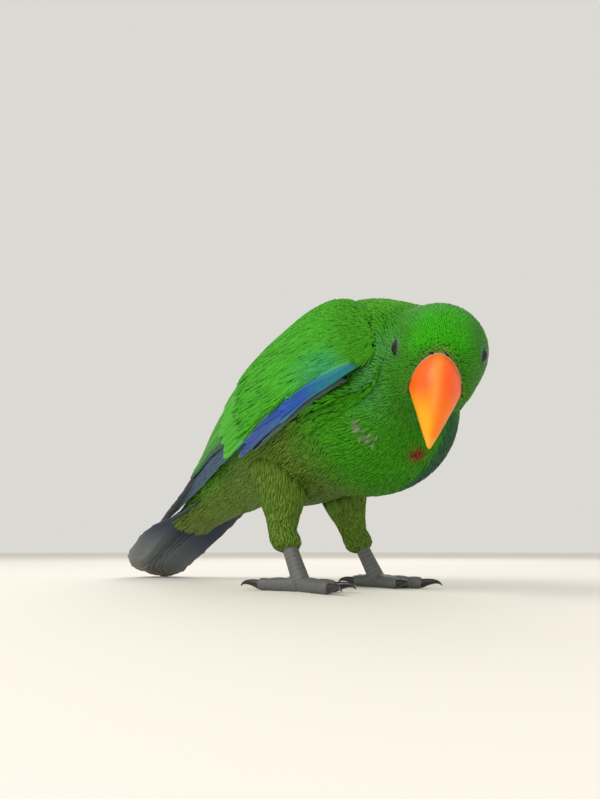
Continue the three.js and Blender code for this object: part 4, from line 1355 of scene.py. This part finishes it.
def scutes(along, turn):
    over = np.clip(np.sin(turn), 0, 1) ** 0.5
    return 0.28 * over * (scute_steps(along) - 0.6) + 0.06 * np.sin(turn * 9 + along * 3) * (1 - over)


def toe_points(side, toe, distance, height):
    angle = math.radians(side * toe[0])
    forward, aside = math.cos(angle) * distance, math.sin(angle) * distance
    return pack(FOOT[0] + forward, side * FOOT[1] + aside, height)


def make_foot(side, name, material):
    hip, ankle, foot = leg_joints(side)
    middle = foot + (0, 0, TOE_ROOT_RADIUS - TOE_SINK)
    steps = np.linspace(0, 1, 60)
    path = mix(ankle + unit(hip - ankle) * 3, middle, steps[:, None])
    radii = mix(*SHANK_RADII, steps) * (1 - 0.1 * np.sin(math.pi * steps)) - 0.2
    shells = [tube(path, radii, 40, (0, 1, 0), ridges=scutes)]
    t = np.linspace(0, 1, 70)
    for toe in TOES:
        pads = 0.45 * np.abs(np.sin(math.pi * t * toe[1] / 9)) ** 0.7
        radii = mix(TOE_ROOT_RADIUS, TOE_HEIGHT, t) - 0.5 + pads
        radii = radii * rounded(t, 0.92, 0.1, 0.2)
        path = toe_points(side, toe, toe[1] * t, TOE_HEIGHT + 0.15)
        across = toe_points(side, (toe[0] + 90 * side, 0), 1, 0) - foot
        shells.append(tube(path, radii, 40, across, ridges=scutes))
    found, quads = joined_shells(shells, voxel=0.42, rounds=1)
    found[:, 2] = np.maximum(found[:, 2], 0)
    starts = np.arange(FOOT_CELLS) / FOOT_CELLS
    spread = nearest_spread(found, shells, [(start, start + CELL_SHARE) for start in starts])
    part = np.minimum((spread[:, 1] * FOOT_CELLS).astype(int), FOOT_CELLS - 1)
    share = (spread[:, 1] - part / FOOT_CELLS) / CELL_SHARE
    length = np.array([26] + [toe[1] for toe in TOES])[part]
    light = 0.55 + 0.5 * scute_steps(share * length)
    gathered = Gathered().add(found, [quads], FOOT_GREY * light[:, None], bakes=spread)
    gathered.make(f"foot_{name}_scaled", material, "foot_skin", [f"foot_{name}"])


def make_claws(side, name, material):
    t = np.linspace(-0.12, 1, 30)
    forward = GAP + CLAW_LENGTH * np.sin(t * CLAW_BEND) / math.sin(CLAW_BEND)
    height = TOE_HEIGHT + 1.6 * np.sin(t * 2.2) - 2.3 * t * t
    radii = mix(CLAW_RADIUS, 0.28, np.clip(t, 0, 1) ** 0.85)
    tints = mix(CLAW_DARK, CLAW_TIP, smooth(t, 0.6, 1)[:, None])[:, None]
    for number, toe in enumerate(TOES, 1):
        across = toe_points(side, (toe[0] + 90, 0), 1, 0) - toe_points(side, toe, 0, 0)
        points = tube(toe_points(side, toe, toe[1] + forward, height), radii, 20, across, flat=0.8)
        gathered = add_tube(Gathered(), points, tints, floor=0)
        gathered.make(f"claw_{name}_{number}_horn", material, "claw", [f"claw_{name}_{number}"])


# Materials

BARB_SLANT = 1.3
BARB_DEPTH = 0.25
STRIPES = {"From Min": 0.1, "From Max": 0.9, "To Min": 0.78, "To Max": 1.22}
RELIEF = 0.0002  # metres
SOFT_RADIUS = (0.004, 0.0015, 0.0008)


def make_material(name, roughness, grain, bump, barbs=0.0, coat=0.0, shine=0.5, soft=0.0, mottle=0.25):
    """Colour from the mesh, broken up by grain of a size in millimetres, with matching relief."""
    material = bpy.data.materials.new(name)
    material.use_nodes = True
    tree = material.node_tree

    def fill(made, inputs):
        for key, value in inputs.items():
            if isinstance(value, bpy.types.NodeSocket):
                tree.links.new(value, made.inputs[key])
            else:
                made.inputs[key].default_value = value

    def node(kind, inputs, **settings):
        """The outputs of a new node, whose inputs are values or the outputs of others."""
        made = tree.nodes.new(f"ShaderNode{kind}")
        for key, value in settings.items():
            setattr(made, key, value)
        fill(made, inputs)
        return made.outputs

    def arithmetic(operation, *values):
        return node("Math", dict(enumerate(values)), operation=operation)[0]

    tint = node("Attribute", {}, attribute_name="tint")["Color"]
    place = node("TexCoord", {})["Object"]
    relief = node("TexNoise", {"Scale": 1000 / grain, "Detail": 4, "Vector": place})["Fac"]
    level = node("MapRange", {"To Min": 1 - mottle, "To Max": 1 + mottle, "Value": relief})["Result"]
    if barbs:
        vane = node("SeparateXYZ", {"Vector": node("UVMap", {}, uv_map="vane")["UV"]})
        slant = arithmetic("MULTIPLY_ADD", arithmetic("ABSOLUTE", vane["X"]), -BARB_SLANT, vane["Y"])
        wave = arithmetic("SINE", arithmetic("MULTIPLY", slant, 2 * math.pi / barbs))
        streak = node("TexNoise", {"Scale": 1.1, "Detail": 3, "W": slant}, noise_dimensions="1D")["Fac"]
        relief = arithmetic("MULTIPLY_ADD", wave, BARB_DEPTH, streak)
        stripes = node("MapRange", {**STRIPES, "Value": relief})["Result"]
        level = arithmetic("MULTIPLY", stripes, level)
    fill(tree.nodes["Principled BSDF"], {
        "Roughness": roughness,
        "Specular IOR Level": shine,
        "Coat Weight": coat,
        "Coat Roughness": 0.08,
        "Subsurface Weight": soft,
        "Subsurface Radius": SOFT_RADIUS,
        "Subsurface Scale": 0.5,
        "Base Color": node("VectorMath", {0: tint, "Scale": level}, operation="SCALE")["Vector"],
        "Normal": node("Bump", {"Strength": bump, "Distance": RELIEF, "Height": relief})["Normal"],
    })
    return material


# The bird

coat_look = make_material("contour_feathers", 0.65, 2.2, 0.25, barbs=0.5, shine=0.15, mottle=0.15)
vane_look = make_material("vanes", 0.55, 3.0, 0.3, barbs=0.8, shine=0.25, mottle=0.15)
down_look = make_material("down", 0.85, 1.0, 0.2, shine=0.1)
skin_look = make_material("skin_under_feathers", 0.8, 1.2, 0.4, shine=0.1)
bill_look = make_material("bill_horn", 0.42, 3.5, 0.06, coat=0.05, shine=0.3, soft=0.12, mottle=0.05)
dark_bill_look = make_material("lower_bill_horn", 0.4, 2.0, 0.15, shine=0.3, mottle=0.12)
eye_look = make_material("eye_gloss", 0.1, 0.8, 0.0, coat=0.1, shine=0.25, mottle=0.1)
bare_look = make_material("bare_skin", 0.7, 0.7, 0.5, shine=0.2, mottle=0.2)
foot_look = make_material("foot_scales", 0.6, 0.9, 0.5, mottle=0.2)
claw_look = make_material("claw_horn", 0.32, 1.6, 0.15, mottle=0.15)

rump = RumpSurface()
thighs = [ThighSurface(side) for side, _ in SIDES]
shells = [surface.points for surface in (SKIN, rump, *thighs)]
make_skin(shells, ["torso", "neck", "head", "thigh_left", "thigh_right"], skin_look)
lay_coat(coat_look)
lay_patch("rump", rump, lambda row: 3.3 + 0.8 * smooth(row, 4, 20), 5, 2.6, 2.2, coat_look, blades=7, end=24)
for (_, name), thigh in zip(SIDES, thighs):
    lay_patch(f"thigh_{name}", thigh, lambda row: 2.3 - 0.5 * smooth(row, 20, 40), 4.4, 2.2, 1.8, coat_look,
              allowed=lambda points: FLESH(points) > -1.5)
lay_down(down_look)

for side, name in SIDES:
    surface = WingSurface(side)
    vanes, small = Gathered(), Gathered()
    lay_arm(vanes, surface)
    lay_wing_rows(vanes, surface)
    vanes.make(f"wing_{name}_vanes", vane_look, "wing_feathers", [f"wing_{name}"])
    lay_shoulder(small, surface)
    small.make(f"wing_{name}_coverts", coat_look, "wing_feathers")

make_tail(vane_look)
make_bill_half("upper", UPPER_BILL, upper_bill_colour, bill_look)
make_bill_half("lower", LOWER_BILL, lambda angle, turn: LOWER_BLACK, dark_bill_look)
make_cere(bare_look)
for side, name in SIDES:
    make_eye(side, name, eye_look)
    make_lid(side, name, bare_look)
    make_foot(side, name, foot_look)
    make_claws(side, name, claw_look)


# Floor, light and camera

FLOOR_HALF = 6.0
FLOOR_COLOUR = linear(236, 232, 224)
SKY = (0.84, 0.82, 0.78, 1)
SKY_STRENGTH = 0.85
LAMP_TARGET = Vector((0, 0, 0.08))
LAMPS = [  # name, place, size, power and colour
    ("key", (-0.1, -1.0, 1.0), 0.8, 9, (1, 0.97, 0.93)),
    ("fill", (0.75, -0.8, 0.12), 0.9, 3.8, (1, 0.98, 0.94)),
    ("back", (-0.6, 0.8, 0.9), 0.8, 4, (1, 1, 1)),
]
CAMERA_PLACE = (438.9, -232.2, 19)
CAMERA_AZIMUTH = 47.93
CAMERA_PITCH = 14.17
FOCAL_PIXELS = 600
IMAGE_HEIGHT = 799
SENSOR = 36


def aim(piece, place, direction):
    piece.location = place
    piece.rotation_euler = direction.to_track_quat("-Z", "Y").to_euler()


paint = bpy.data.materials.new("floor_paint")
paint.use_nodes = True
paint.node_tree.nodes["Principled BSDF"].inputs["Base Color"].default_value = (*FLOOR_COLOUR, 1)
paint.node_tree.nodes["Principled BSDF"].inputs["Roughness"].default_value = 0.85
mesh = bpy.data.meshes.new("floor")
corners = [(x * FLOOR_HALF, y * FLOOR_HALF, 0) for x, y in ((-1, -1), (1, -1), (1, 1), (-1, 1))]
mesh.from_pydata(corners, [], [(0, 1, 2, 3)])
mesh.materials.append(paint)
add_object("floor", mesh)

world = bpy.data.worlds.new("studio")
world.use_nodes = True
world.node_tree.nodes["Background"].inputs["Color"].default_value = SKY
world.node_tree.nodes["Background"].inputs["Strength"].default_value = SKY_STRENGTH
bpy.context.scene.world = world

for name, place, size, power, colour in LAMPS:
    lamp = bpy.data.lights.new(name, "AREA")
    lamp.shape = "DISK"
    lamp.size, lamp.energy, lamp.color = size, power, colour
    aim(add_object(name, lamp), place, LAMP_TARGET - Vector(place))

azimuth, pitch = math.radians(CAMERA_AZIMUTH), math.radians(CAMERA_PITCH)
lens = bpy.data.cameras.new("camera")
lens.sensor_fit = "AUTO"
lens.sensor_width = SENSOR
lens.lens = FOCAL_PIXELS * SENSOR / IMAGE_HEIGHT
lens.clip_start = 0.01
camera = add_object("camera", lens)
aim(camera, Vector((np.array(CAMERA_PLACE) + SHIFT) / 1000), Vector((
    -math.sin(azimuth) * math.cos(pitch), math.cos(azimuth) * math.cos(pitch), math.sin(pitch))))
bpy.context.scene.camera = camera
bpy.context.scene.view_settings.view_transform = "Standard"
